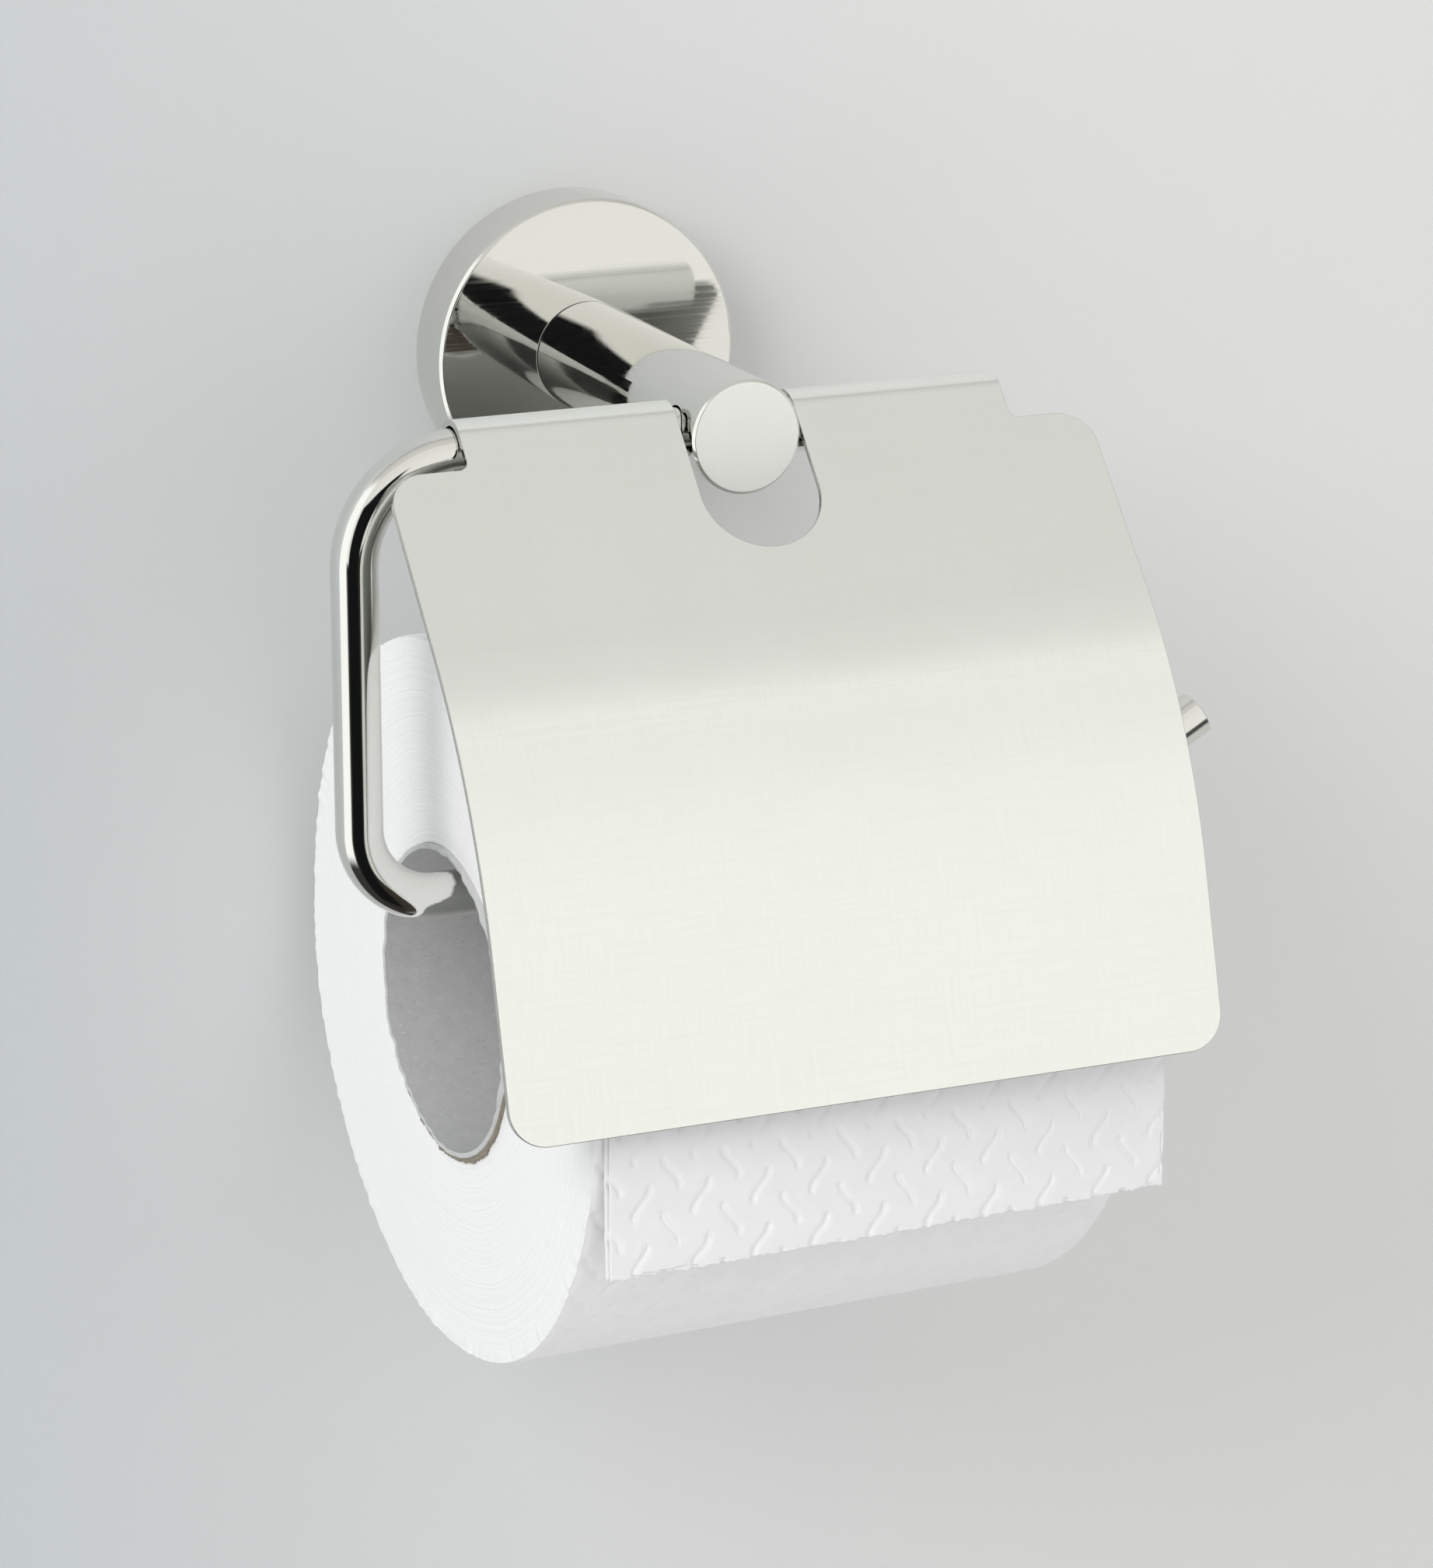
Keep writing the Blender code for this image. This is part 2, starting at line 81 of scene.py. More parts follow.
BOARD_OUTER_R = CORE_R - 0.55 * MM   # the first plies are pressed into the core
PAPER_DEPTH = 0.0352                 # of wound paper, from the core to the outside
POST_R = POST_HIGH.x
ROSETTE_R = ROSETTE_HIGH.x

# Sizes that the boxes don't give, the same as in the CAD model.
ROD_STUB_X = 0.0455
ROD_TOP_BEND = 0.017
ROD_LOW_BEND = 0.0125
ROD_TIP_BEND = 0.012
ROD_TIP_ANGLE = math.radians(30)
ROD_TIP_START_X = 0.0565
ROD_TIP_LENGTH = 0.0270
SHEET = 0.001
CURL_RADIUS = ROD_R + 0.3 * MM + SHEET / 2
LID_CORNER = 0.006
KNUCKLE_INNER_X = 0.010
KNUCKLE_OUTER_X = 0.0463
KNUCKLE_FILLET = 0.0015
KNUCKLE_WRAP = math.radians(275)
SHOULDER_START = 0.0060
SLOT_BOTTOM = 0.0246
LID_LENGTH = 0.1133
LID_UPPER_ANGLE = math.radians(47.5)
LID_LOWER_ANGLE = math.radians(74.6)
LID_UPPER_FLAT = 0.0367
LID_BEND_RADIUS = 0.1032
LID_BEND_LENGTH = LID_BEND_RADIUS * (LID_LOWER_ANGLE - LID_UPPER_ANGLE)
ROSETTE_WALL = 0.002
POST_BORE = 0.0028
ROLL_LENGTH = 0.0956
CORE_LENGTH = 0.0964
TAIL_WIDTH = 0.0965
TAIL_SHIFT = 0.0029              # how far the loose sheet sits to the right of the roll's middle
TAIL_WRAP = math.radians(62)     # how far over the roll the loose sheet still lies
TAIL_DROP_GAP = 0.30 * MM        # the front ply's distance from the roll
GRUB_HOLE_R = 2.3 * MM

OUT_OF_WALL = Matrix.Rotation(math.radians(90), 4, "X")


# ---- node helpers ---------------------------------------------------------------
class Nodes:
    """A short way to write a node tree."""

    def __init__(self, tree):
        self.tree = tree
        self.shader = None
        tree.nodes.clear()

    def add(self, kind, **settings):
        node = self.tree.nodes.new(kind)
        for name, value in settings.items():
            setattr(node, name, value)
        return node

    def put(self, socket, value):
        if isinstance(value, bpy.types.NodeSocket):
            self.tree.links.new(value, socket)
        else:
            socket.default_value = value

    def set(self, name, value):
        self.put(self.shader.inputs[name], value)

    def math(self, operation, a, b=0.0, c=0.0):
        node = self.add("ShaderNodeMath", operation=operation)
        for socket, value in zip(node.inputs, (a, b, c)):
            self.put(socket, value)
        return node.outputs[0]

    def length(self, a, b):
        """The length of a flat vector from its two parts."""
        return self.math("SQRT", self.math("MULTIPLY_ADD", a, a, self.math("MULTIPLY", b, b)))

    def fade(self, value, start, end, low=0.0, high=1.0):
        """Smoothly from low, where value is start, to high, where it is end."""
        node = self.add("ShaderNodeMapRange", interpolation_type="SMOOTHSTEP")
        names = ("From Min", "From Max", "To Min", "To Max")
        for name, number in zip(names, (start, end, low, high)):
            node.inputs[name].default_value = number
        self.put(node.inputs["Value"], value)
        return node.outputs["Result"]

    def mix(self, share, a, b):
        node = self.add("ShaderNodeMix", data_type="RGBA")
        self.put(node.inputs["Factor"], share)
        self.put(node.inputs["A"], colour(a))
        self.put(node.inputs["B"], colour(b))
        return node.outputs["Result"]

    def ramp(self, value, stops):
        node = self.add("ShaderNodeValToRGB")
        points = node.color_ramp.elements
        points[0].position, points[0].color = stops[0][0], colour(stops[0][1])
        points[1].position, points[1].color = stops[-1][0], colour(stops[-1][1])
        for position, shade in stops[1:-1]:
            points.new(position).color = colour(shade)
        self.put(node.inputs["Fac"], value)
        return node.outputs["Color"]

    def noise(self, place, scale, detail=3.0, roughness=0.5):
        node = self.add("ShaderNodeTexNoise")
        self.put(node.inputs["Vector"], place)
        node.inputs["Scale"].default_value = scale
        node.inputs["Detail"].default_value = detail
        node.inputs["Roughness"].default_value = roughness
        return node.outputs["Fac"]

    def stretched(self, place, scale):
        node = self.add("ShaderNodeMapping")
        self.put(node.inputs["Vector"], place)
        node.inputs["Scale"].default_value = scale
        return node.outputs["Vector"]

    def bump(self, height, strength, distance, normal=None):
        node = self.add("ShaderNodeBump")
        node.inputs["Strength"].default_value = strength
        node.inputs["Distance"].default_value = distance
        self.put(node.inputs["Height"], height)
        if normal is not None:
            self.put(node.inputs["Normal"], normal)
        return node.outputs["Normal"]


def colour(value):
    """A grey number, an RGB tuple or a socket, as something a colour socket takes."""
    if isinstance(value, bpy.types.NodeSocket):
        return value
    if isinstance(value, (int, float)):
        return (value, value, value, 1.0)
    return (*value, 1.0)


def surface(name, **constants):
    """A new material with a Principled shader: (material, nodes, object coordinates)."""
    made = bpy.data.materials.new(name)
    made.use_nodes = True
    nodes = Nodes(made.node_tree)
    shader = nodes.add("ShaderNodeBsdfPrincipled")
    output = nodes.add("ShaderNodeOutputMaterial")
    made.node_tree.links.new(shader.outputs["BSDF"], output.inputs["Surface"])
    for key, value in constants.items():
        shader.inputs[key.replace("_", " ")].default_value = value
    nodes.shader = shader
    place = nodes.add("ShaderNodeTexCoord").outputs["Object"]
    return made, nodes, place


# ---- materials ------------------------------------------------------------------
def polished_steel():
    """Mirror-polished stainless steel with faint lines from the polishing wheel."""
    made, nodes, place = surface("polished_steel", Metallic=1.0)
    lines = nodes.noise(nodes.stretched(place, (40.0, 300.0, 2600.0)), 1.0, 4.0)
    haze = nodes.noise(place, 60.0, 4.0)
    tint = nodes.noise(place, 25.0, 2.0)
    nodes.set("Base Color", nodes.mix(tint, (0.74, 0.735, 0.70), (0.80, 0.795, 0.765)))
    worn = nodes.fade(haze, 0.45, 0.8, 0.0, 0.03)
    rough = nodes.math("ADD", nodes.fade(lines, 0.35, 0.75, 0.025, 0.085), worn)
    nodes.set("Roughness", rough)
    nodes.set("Normal", nodes.bump(lines, 0.02, 0.00002))
    return made


def faced_steel():
    """The post's end: turned flat, then buffed to a soft sheen."""
    made, nodes, place = surface("faced_steel", Metallic=0.3)
    specks = nodes.noise(place, 2200.0, 2.0)
    cloud = nodes.noise(place, 180.0, 3.0)
    shade = nodes.mix(cloud, (0.93, 0.93, 0.88), (0.97, 0.97, 0.93))
    dotted = nodes.mix(nodes.fade(specks, 0.68, 0.8, 0.0, 0.25), shade, 0.6)
    nodes.set("Base Color", dotted)
    nodes.set("Roughness", nodes.fade(cloud, 0.3, 0.7, 0.36, 0.44))
    nodes.set("Normal", nodes.bump(specks, 0.05, 0.00002))
    return made


def lid_steel():
    """Rolled sheet: a soft gloss with a fine cross-hatched mottle along and across the rolling."""
    made, nodes, place = surface("lid_steel", Metallic=1.0)
    across = nodes.noise(nodes.stretched(place, (3000.0, 120.0, 120.0)), 1.0, 3.0)
    along = nodes.noise(nodes.stretched(place, (90.0, 1800.0, 1800.0)), 1.0, 3.0)
    cloud = nodes.noise(place, 38.0, 4.0, 0.6)
    weave = nodes.math("MULTIPLY_ADD", across, 0.5, nodes.math("MULTIPLY", along, 0.5))
    shade = nodes.mix(cloud, (0.880, 0.893, 0.850), (0.930, 0.938, 0.905))
    shade = nodes.mix(nodes.fade(weave, 0.42, 0.62, 0.0, 0.10), shade, (0.80, 0.82, 0.78))
    nodes.set("Base Color", shade)
    hazy = nodes.fade(cloud, 0.3, 0.8, 0.0, 0.04)
    rough = nodes.math("ADD", nodes.fade(weave, 0.35, 0.65, 0.13, 0.19), hazy)
    nodes.set("Roughness", rough)
    nodes.set("Normal", nodes.bump(weave, 0.08, 0.00002))
    return made


def cut_edge():
    """The lid's sheared edge: brighter than the faces, with fine drag lines across it."""
    made, nodes, place = surface("cut_edge", Metallic=1.0)
    drag = nodes.noise(nodes.stretched(place, (1500.0, 1500.0, 1500.0)), 1.0, 2.0)
    nodes.set("Base Color", nodes.mix(drag, (0.48, 0.48, 0.46), (0.74, 0.74, 0.71)))
    nodes.set("Roughness", nodes.fade(drag, 0.3, 0.7, 0.12, 0.3))
    return made


RING_FREQUENCY = 10400.0   # radians per metre, so rings 0.6 mm apart


def turned_metal(name, low, high, roughness):
    """Unpolished turned metal: fine rings about the post's line, with some stain."""
    made, nodes, place = surface(name, Metallic=1.0)
    parts = nodes.add("ShaderNodeSeparateXYZ")
    nodes.put(parts.inputs[0], place)
    radius = nodes.length(parts.outputs[0], parts.outputs[2])
    rings = nodes.math("SINE", nodes.math("MULTIPLY", radius, RING_FREQUENCY))
    stain = nodes.noise(place, 220.0, 5.0)
    nodes.set("Base Color", nodes.mix(stain, low, high))
    rough = nodes.fade(stain, 0.3, 0.7, roughness - 0.08, roughness + 0.08)
    nodes.set("Roughness", rough)
    nodes.set("Normal", nodes.bump(rings, 0.15, 0.00003))
    return made


def nylon():
    """Grey moulded nylon with a fine spark-eroded grain."""
    made, nodes, place = surface("grey_nylon")
    grain = nodes.noise(place, 5200.0, 2.0)
    cloud = nodes.noise(place, 300.0, 3.0)
    nodes.set("Base Color", nodes.mix(cloud, (0.36, 0.37, 0.38), (0.45, 0.46, 0.47)))
    nodes.set("Roughness", nodes.fade(grain, 0.3, 0.7, 0.42, 0.58))
    nodes.set("Normal", nodes.bump(grain, 0.25, 0.00003))
    return made


def tissue(name, shade, through):
    """Soft creped tissue: tiny wrinkles across the web, loose fibres, light through it."""
    made, nodes, place = surface(name, Subsurface_Weight=through, Sheen_Weight=0.15)
    nodes.shader.inputs["Subsurface Radius"].default_value = (0.0012, 0.0012, 0.0011)
    nodes.shader.inputs["Specular IOR Level"].default_value = 0.15
    crepe = nodes.noise(nodes.stretched(place, (900.0, 3400.0, 3400.0)), 1.0, 3.0)
    fibre = nodes.noise(place, 5200.0, 4.0, 0.65)
    cloud = nodes.noise(place, 210.0, 3.0)
    dark = tuple(part * 0.955 for part in shade)
    clouded = nodes.mix(nodes.fade(cloud, 0.35, 0.7, 0.0, 0.5), shade, dark)
    nodes.set("Base Color", clouded)
    nodes.set("Roughness", nodes.fade(fibre, 0.3, 0.7, 0.88, 1.0))
    fine = nodes.bump(fibre, 0.30, 0.00006)
    nodes.set("Normal", nodes.bump(crepe, 0.30, 0.00008, fine))
    return made


def paper_edge():
    """The roll's ends: hundreds of cut ply edges as fine uneven rings about its axis, with painted shade
    in the dips between them.
    """
    made, nodes, place = surface("paper_edge", Subsurface_Weight=0.2)
    nodes.shader.inputs["Subsurface Radius"].default_value = (0.0015, 0.0015, 0.0014)
    nodes.shader.inputs["Specular IOR Level"].default_value = 0.1
    parts = nodes.add("ShaderNodeSeparateXYZ")
    centred = nodes.add("ShaderNodeVectorMath", operation="SUBTRACT")
    nodes.put(centred.inputs[0], place)
    centred.inputs[1].default_value = ROLL_CENTRE
    turned_back = nodes.add("ShaderNodeMapping")
    turned_back.inputs["Rotation"].default_value = (0.0, 0.0, -ROLL_YAW)
    nodes.put(turned_back.inputs["Vector"], centred.outputs[0])
    nodes.put(parts.inputs[0], turned_back.outputs[0])
    radius = nodes.length(parts.outputs[1], parts.outputs[2])
    wander = nodes.noise(place, 70.0, 4.0, 0.6)
    uneven = nodes.math("MULTIPLY_ADD", wander, 0.0016, radius)
    rings = nodes.add("ShaderNodeTexNoise", noise_dimensions="1D")
    nodes.put(rings.inputs["W"], nodes.math("MULTIPLY", uneven, 2600.0))
    rings.inputs["Scale"].default_value = 1.0
    rings.inputs["Detail"].default_value = 3.0
    plies = rings.outputs["Fac"]
    fibre = nodes.noise(place, 2600.0, 4.0, 0.7)
    height = nodes.math("MULTIPLY_ADD", plies, 0.7, nodes.math("MULTIPLY", fibre, 0.5))
    # Paler on the raised rings, darker in their dips: the rings are the paper's own pattern, the darker
    # dips are painted shade.
    raised = nodes.fade(height, 0.45, 0.75)
    shade = nodes.mix(raised, (0.88, 0.88, 0.875), (0.945, 0.945, 0.94))
    nodes.set("Base Color", shade)
    nodes.shader.inputs["Roughness"].default_value = 1.0
    nodes.set("Normal", nodes.bump(height, 0.30, 0.00025))
    return made


def cardboard(name, low, high):
    """Recycled board: mottled, with darker and paler fibres."""
    made, nodes, place = surface(name, Roughness=0.95)
    nodes.shader.inputs["Specular IOR Level"].default_value = 0.2
    cloud = nodes.noise(place, 420.0, 5.0, 0.65)
    fibre = nodes.noise(nodes.stretched(place, (1400.0, 3800.0, 3800.0)), 1.0, 4.0)
    shade = nodes.mix(cloud, low, high)
    palest = tuple(part * 1.35 for part in high)
    darkest = tuple(part * 0.55 for part in low)
    shade = nodes.mix(nodes.fade(fibre, 0.60, 0.74, 0.0, 0.5), shade, palest)
    shade = nodes.mix(nodes.fade(fibre, 0.38, 0.28, 0.0, 0.45), shade, darkest)
    nodes.set("Base Color", shade)
    nodes.set("Normal", nodes.bump(fibre, 0.35, 0.00008))
    return made


# ---- mesh helpers ---------------------------------------------------------------
def new_object(name, mesh, finishes, body, nodes=()):
    """Puts a finished mesh in the scene, on its body, in place of its CAD nodes."""
    piece = bpy.data.objects.new(name, mesh)
    bpy.context.scene.collection.objects.link(piece)
    for finish in finishes:
        mesh.materials.append(finish)
    if body:
        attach(piece, body)
    if nodes:
        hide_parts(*nodes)
    return piece


def smooth(mesh, angle=32):
    """Smooth shading, with the edges sharper than the angle, in degrees, kept crisp."""
    mesh.shade_smooth()
    mesh.set_sharp_from_angle(angle=math.radians(angle))


def reworked(mesh, fill_sides=0):
    """Turns a mesh's faces outwards, after closing its holes of up to that many sides."""
    bm = bmesh.new()
    bm.from_mesh(mesh)
    if fill_sides:
        rims = [edge for edge in bm.edges if edge.is_boundary]
        bmesh.ops.holes_fill(bm, edges=rims, sides=fill_sides)
    bmesh.ops.recalc_face_normals(bm, faces=bm.faces[:])
    bm.to_mesh(mesh)
    bm.free()


def grid_mesh(name, points, wrap_rows, wrap_columns, smooth_angle=40):
    """A mesh of quads from an array of points [row, column, xyz]."""
    rows, columns = points.shape[:2]
    index = np.arange(rows * columns).reshape(rows, columns)
    if wrap_rows:
        index = np.vstack([index, index[:1]])
    if wrap_columns:
        index = np.hstack([index, index[:, :1]])
    corners = (index[:-1, :-1], index[:-1, 1:], index[1:, 1:], index[1:, :-1])
    quads = np.stack([corner.ravel() for corner in corners], axis=1)
    mesh = bpy.data.meshes.new(name)
    mesh.from_pydata(points.reshape(-1, 3).tolist(), [], quads.tolist())
    mesh.update()
    smooth(mesh, smooth_angle)
    return mesh


def turned(name, profile, steps, place, closed=True):
    """A surface turned about the place's own Z from (radius, height) points."""
    bm = bmesh.new()
    verts = [bm.verts.new((radius, 0.0, height)) for radius, height in profile]
    loop = verts + verts[:1] if closed else verts
    edges = [bm.edges.new((a, b)) for a, b in zip(loop, loop[1:])]
    bmesh.ops.spin(bm, geom=verts + edges, cent=(0, 0, 0), axis=(0, 0, 1), dvec=(0, 0, 0),
                   angle=2 * math.pi, steps=steps, use_merge=True)
    bmesh.ops.remove_doubles(bm, verts=bm.verts[:], dist=0.0000001)
    bmesh.ops.recalc_face_normals(bm, faces=bm.faces[:])
    bmesh.ops.transform(bm, matrix=place, verts=bm.verts[:])
    mesh = bpy.data.meshes.new(name)
    bm.to_mesh(mesh)
    bm.free()
    smooth(mesh)
    return mesh


def rounded(corners, default=0.15 * MM, points=4):
    """A (radius, height) profile with its corners rounded: None keeps one sharp, 0 takes the default."""
    result = []
    count = len(corners)
    for i, (radius, height, round_size) in enumerate(corners):
        here = Vector((radius, height))
        if round_size is None:
            result.append((radius, height))
            continue
        size = round_size or default
        before = Vector(corners[i - 1][:2]) - here
        after = Vector(corners[(i + 1) % count][:2]) - here
        start = here + before.normalized() * min(size, before.length / 2.2)
        end = here + after.normalized() * min(size, after.length / 2.2)
        for step in range(points + 1):
            t = step / points
            point = start * (1 - t) ** 2 + here * (2 * t * (1 - t)) + end * t ** 2
            result.append((point.x, point.y))
    return result


def cylinder_between(name, start, end, radius, segments=96):
    """A plain cylinder, only ever a cutter."""
    axis = end - start
    bm = bmesh.new()
    heading = axis.to_track_quat("Z", "Y").to_matrix().to_4x4()
    place = Matrix.Translation((start + end) / 2) @ heading
    bmesh.ops.create_cone(bm, cap_ends=True, segments=segments, radius1=radius, radius2=radius,
                          depth=axis.length, matrix=place)
    mesh = bpy.data.meshes.new(name)
    bm.to_mesh(mesh)
    bm.free()
    cutter = bpy.data.objects.new(name, mesh)
    bpy.context.scene.collection.objects.link(cutter)
    return cutter


def cut_and_apply(piece, cutters):
    """Cuts the piece, keeps the result as its mesh and removes the cutters."""
    for cutter in cutters:
        boolean = piece.modifiers.new("cut", "BOOLEAN")
        boolean.operation = "DIFFERENCE"
        boolean.solver = "EXACT"
        boolean.object = cutter
    bpy.context.view_layer.update()
    graph = bpy.context.evaluated_depsgraph_get()
    result = bpy.data.meshes.new_from_object(piece.evaluated_get(graph))
    piece.modifiers.clear()
    piece.data = result
    for cutter in cutters:
        bpy.data.objects.remove(cutter, do_unlink=True)


# ---- rosette and post -----------------------------------------------------------
def make_rosette(steel):
    """A turned cup, open towards the wall, with the grub screw's hole underneath."""
    depth = -ROSETTE_LOW.y
    inner = ROSETTE_R - ROSETTE_WALL
    floor = depth - ROSETTE_WALL
    chamfer = 0.6 * MM
    corners = [
        (POST_BORE, depth, None),
        (ROSETTE_R - chamfer, depth, 0),
        (ROSETTE_R, depth - chamfer, 0),
        (ROSETTE_R, 0.0, 0.1 * MM),
        (inner, 0.0, 0.1 * MM),
        (inner, floor, 0.5 * MM),
        (POST_BORE, floor, None),
    ]
    mesh = turned("rosette_polished", rounded(corners), 192, OUT_OF_WALL)
    piece = new_object("rosette_polished", mesh, [steel], None)
    grub_low, grub_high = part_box("rosette_grub_screw")
    hole = (grub_low + grub_high) / 2
    start = Vector((hole.x, hole.y, -inner + MM))
    cutter = cylinder_between("grub_cut", start, start - Vector((0, 0, 6 * MM)), GRUB_HOLE_R, 48)
    cut_and_apply(piece, [cutter])
    smooth(piece.data)
    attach(piece, "root")
    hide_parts("rosette")


def make_post(steel, end_steel):
    """A turned bar with the rod's cross hole, a screw hole at its back and a grub screw's below."""
    end = -POST_LOW.y
    start = -POST_HIGH.y
    chamfer = 0.45 * MM
    screw_hole_depth = 14 * MM
    bottom = start + screw_hole_depth
    corners = [
        (0.0, end, None),
        (POST_R - chamfer, end, 0.1 * MM),
        (POST_R, end - chamfer, 0.1 * MM),
        (POST_R, start, 0.1 * MM),
        (POST_BORE, start, None),
        (POST_BORE, bottom, None),
        (0.0, bottom, None),
    ]
    mesh = turned("post_polished", rounded(corners), 144, OUT_OF_WALL, closed=False)
    piece = new_object("post_polished", mesh, [steel, end_steel], None)
    clearance = 0.3 * MM
    across = Vector((0.015, HINGE.y, HINGE.z))
    through = cylinder_between("rod_cut", across, across - Vector((0.030, 0, 0)), ROD_R + clearance)
    below = Vector((0, HINGE.y, -MM))
    grub = cylinder_between("grub_cut", below, below - Vector((0, 0, 12 * MM)), GRUB_HOLE_R, 48)
    cut_and_apply(piece, [through, grub])
    smooth(piece.data)
    for face in piece.data.polygons:
        if face.normal.y < -0.95 and face.center.y < POST_LOW.y + 0.05 * MM:
            face.material_index = 1
    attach(piece, "root")
    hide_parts("post")


# ---- rod ------------------------------------------------------------------------
def arc(centre, radius, start, end, count):
    """Points (x, z) and their tangent angles on an arc turned from angle start to end."""
    side = 1 if end > start else -1
    for i in range(count + 1):
        angle = start + (end - start) * i / count
        x = centre[0] + radius * math.cos(angle)
        z = centre[1] + radius * math.sin(angle)
        yield x, z, angle + side * math.pi / 2


def rod_path():
    """(x, z, tangent angle) along the rod's centre line, from its stub to its tip."""
    quarter = math.pi / 2
    leg_x = ROD_LOW.x + ROD_R
    low_z = ROD_LOW.z + ROD_R
    path = [(x, 0.0, math.pi) for x in np.linspace(ROD_STUB_X, leg_x + ROD_TOP_BEND, 24)[:-1]]
    path += arc((leg_x + ROD_TOP_BEND, -ROD_TOP_BEND), ROD_TOP_BEND, quarter, 2 * quarter, 40)
    top = -ROD_TOP_BEND
    bottom = low_z + ROD_LOW_BEND
    path += [(leg_x, z, 3 * quarter) for z in np.linspace(top, bottom, 14)[1:-1]]
    path += arc((leg_x + ROD_LOW_BEND, bottom), ROD_LOW_BEND, 2 * quarter, 3 * quarter, 36)
    start = leg_x + ROD_LOW_BEND
    path += [(x, low_z, 4 * quarter) for x in np.linspace(start, ROD_TIP_START_X, 24)[1:-1]]
    tip_centre = (ROD_TIP_START_X, low_z + ROD_TIP_BEND)
    path += arc(tip_centre, ROD_TIP_BEND, 3 * quarter, 3 * quarter + ROD_TIP_ANGLE, 16)
    x, z, angle = path[-1]
    rightward, upward = math.cos(ROD_TIP_ANGLE), math.sin(ROD_TIP_ANGLE)
    for length in np.linspace(0, ROD_TIP_LENGTH, 8)[1:]:
        path.append((x + length * rightward, z + length * upward, angle))
    return path


def make_rod(steel):
    """A round bar swept along its path, with a small chamfer at each sawn end."""
    sides = 64
    chamfer = 0.35 * MM
    rings = [(x, z, angle, ROD_R) for x, z, angle in rod_path()]
    for at, direction in ((0, 1), (-1, -1)):
        x, z, angle, _ = rings[at]
        inward = (math.cos(angle) * direction, math.sin(angle) * direction)
        rings[at] = (x + inward[0] * chamfer, z + inward[1] * chamfer, angle, ROD_R)
        faces = [(x, z, angle, ROD_R - chamfer), (x, z, angle, ROD_R * 0.5), (x, z, angle, 0.02 * MM)]
        rings = faces[::-1] + rings if at == 0 else rings + faces
    turn = np.linspace(0, 2 * math.pi, sides, endpoint=False)
    points = np.empty((len(rings), sides, 3))
    for i, (x, z, angle, radius) in enumerate(rings):
        side = radius * np.sin(turn)
        points[i, :, 0] = x - math.sin(angle) * side
        points[i, :, 1] = HINGE.y + radius * np.cos(turn)
        points[i, :, 2] = z + math.cos(angle) * side
    mesh = grid_mesh("rod_polished", points, False, True, 30)
    reworked(mesh, sides)
    smooth(mesh, 30)
    new_object("rod_polished", mesh, [steel], "root", ["rod"])


# ---- lid ------------------------------------------------------------------------
def lid_point(distance):
    """(y, z) on the middle of the lid's sheet from its hinge axis; the curl is negative."""
    upper = LID_UPPER_ANGLE
    if distance < 0:
        angle = math.pi / 2 + upper + distance / CURL_RADIUS
        return CURL_RADIUS * math.cos(angle), CURL_RADIUS * math.sin(angle)
    y = -CURL_RADIUS * math.sin(upper)
    z = CURL_RADIUS * math.cos(upper)
    flat = min(distance, LID_UPPER_FLAT)
    y -= flat * math.cos(upper)
    z -= flat * math.sin(upper)
    bent = min(max(distance - LID_UPPER_FLAT, 0.0), LID_BEND_LENGTH)
    angle = upper + bent / LID_BEND_RADIUS
    y -= LID_BEND_RADIUS * (math.sin(angle) - math.sin(upper))
    z += LID_BEND_RADIUS * (math.cos(angle) - math.cos(upper))
    last = max(distance - LID_UPPER_FLAT - LID_BEND_LENGTH, 0.0)
    return y - last * math.cos(LID_LOWER_ANGLE), z - last * math.sin(LID_LOWER_ANGLE)


def lid_folds():
    """The distances at which the sheet is cut across, close together where it bends."""
    curl = KNUCKLE_WRAP * CURL_RADIUS
    lines = list(np.linspace(-curl, 0, 73))
    lines += [0.4 * MM, 1.5 * MM, SLOT_BOTTOM * 0.5, SLOT_BOTTOM + MM]
    lines += [LID_UPPER_FLAT - 2 * MM]
    lines += list(LID_UPPER_FLAT + LID_BEND_LENGTH * np.linspace(0, 1, 61))
    lines += [LID_UPPER_FLAT + LID_BEND_LENGTH + 2 * MM, LID_LENGTH - LID_CORNER - MM, LID_LENGTH]
    return lines


def arc_outline(centre, radius, start, end, count):
    """The points of an arc, with its angles in degrees."""
    for x, y, _ in arc(centre, radius, math.radians(start), math.radians(end), count):
        yield x, y


def lid_half_blank():
    """The right half of the flat blank as (x, distance), from the bottom up to the slot."""
    half_width = LID_HIGH.x
    inset = half_width - LID_CORNER
    slot_centre = SLOT_BOTTOM - KNUCKLE_INNER_X
    fillet = KNUCKLE_OUTER_X + KNUCKLE_FILLET
    curl_end = -KNUCKLE_WRAP * CURL_RADIUS
    outline = list(arc_outline((inset, LID_LENGTH - LID_CORNER), LID_CORNER, 90, 0, 24))
    outline += arc_outline((inset, SHOULDER_START + LID_CORNER), LID_CORNER, 0, -90, 24)
    outline += arc_outline((fillet, SHOULDER_START - KNUCKLE_FILLET), KNUCKLE_FILLET, 90, 180, 10)
    outline += [(KNUCKLE_OUTER_X, curl_end), (KNUCKLE_INNER_X, curl_end)]
    outline += list(arc_outline((0.0, slot_centre), KNUCKLE_INNER_X, 0, 90, 30))[:-1]
    return outline


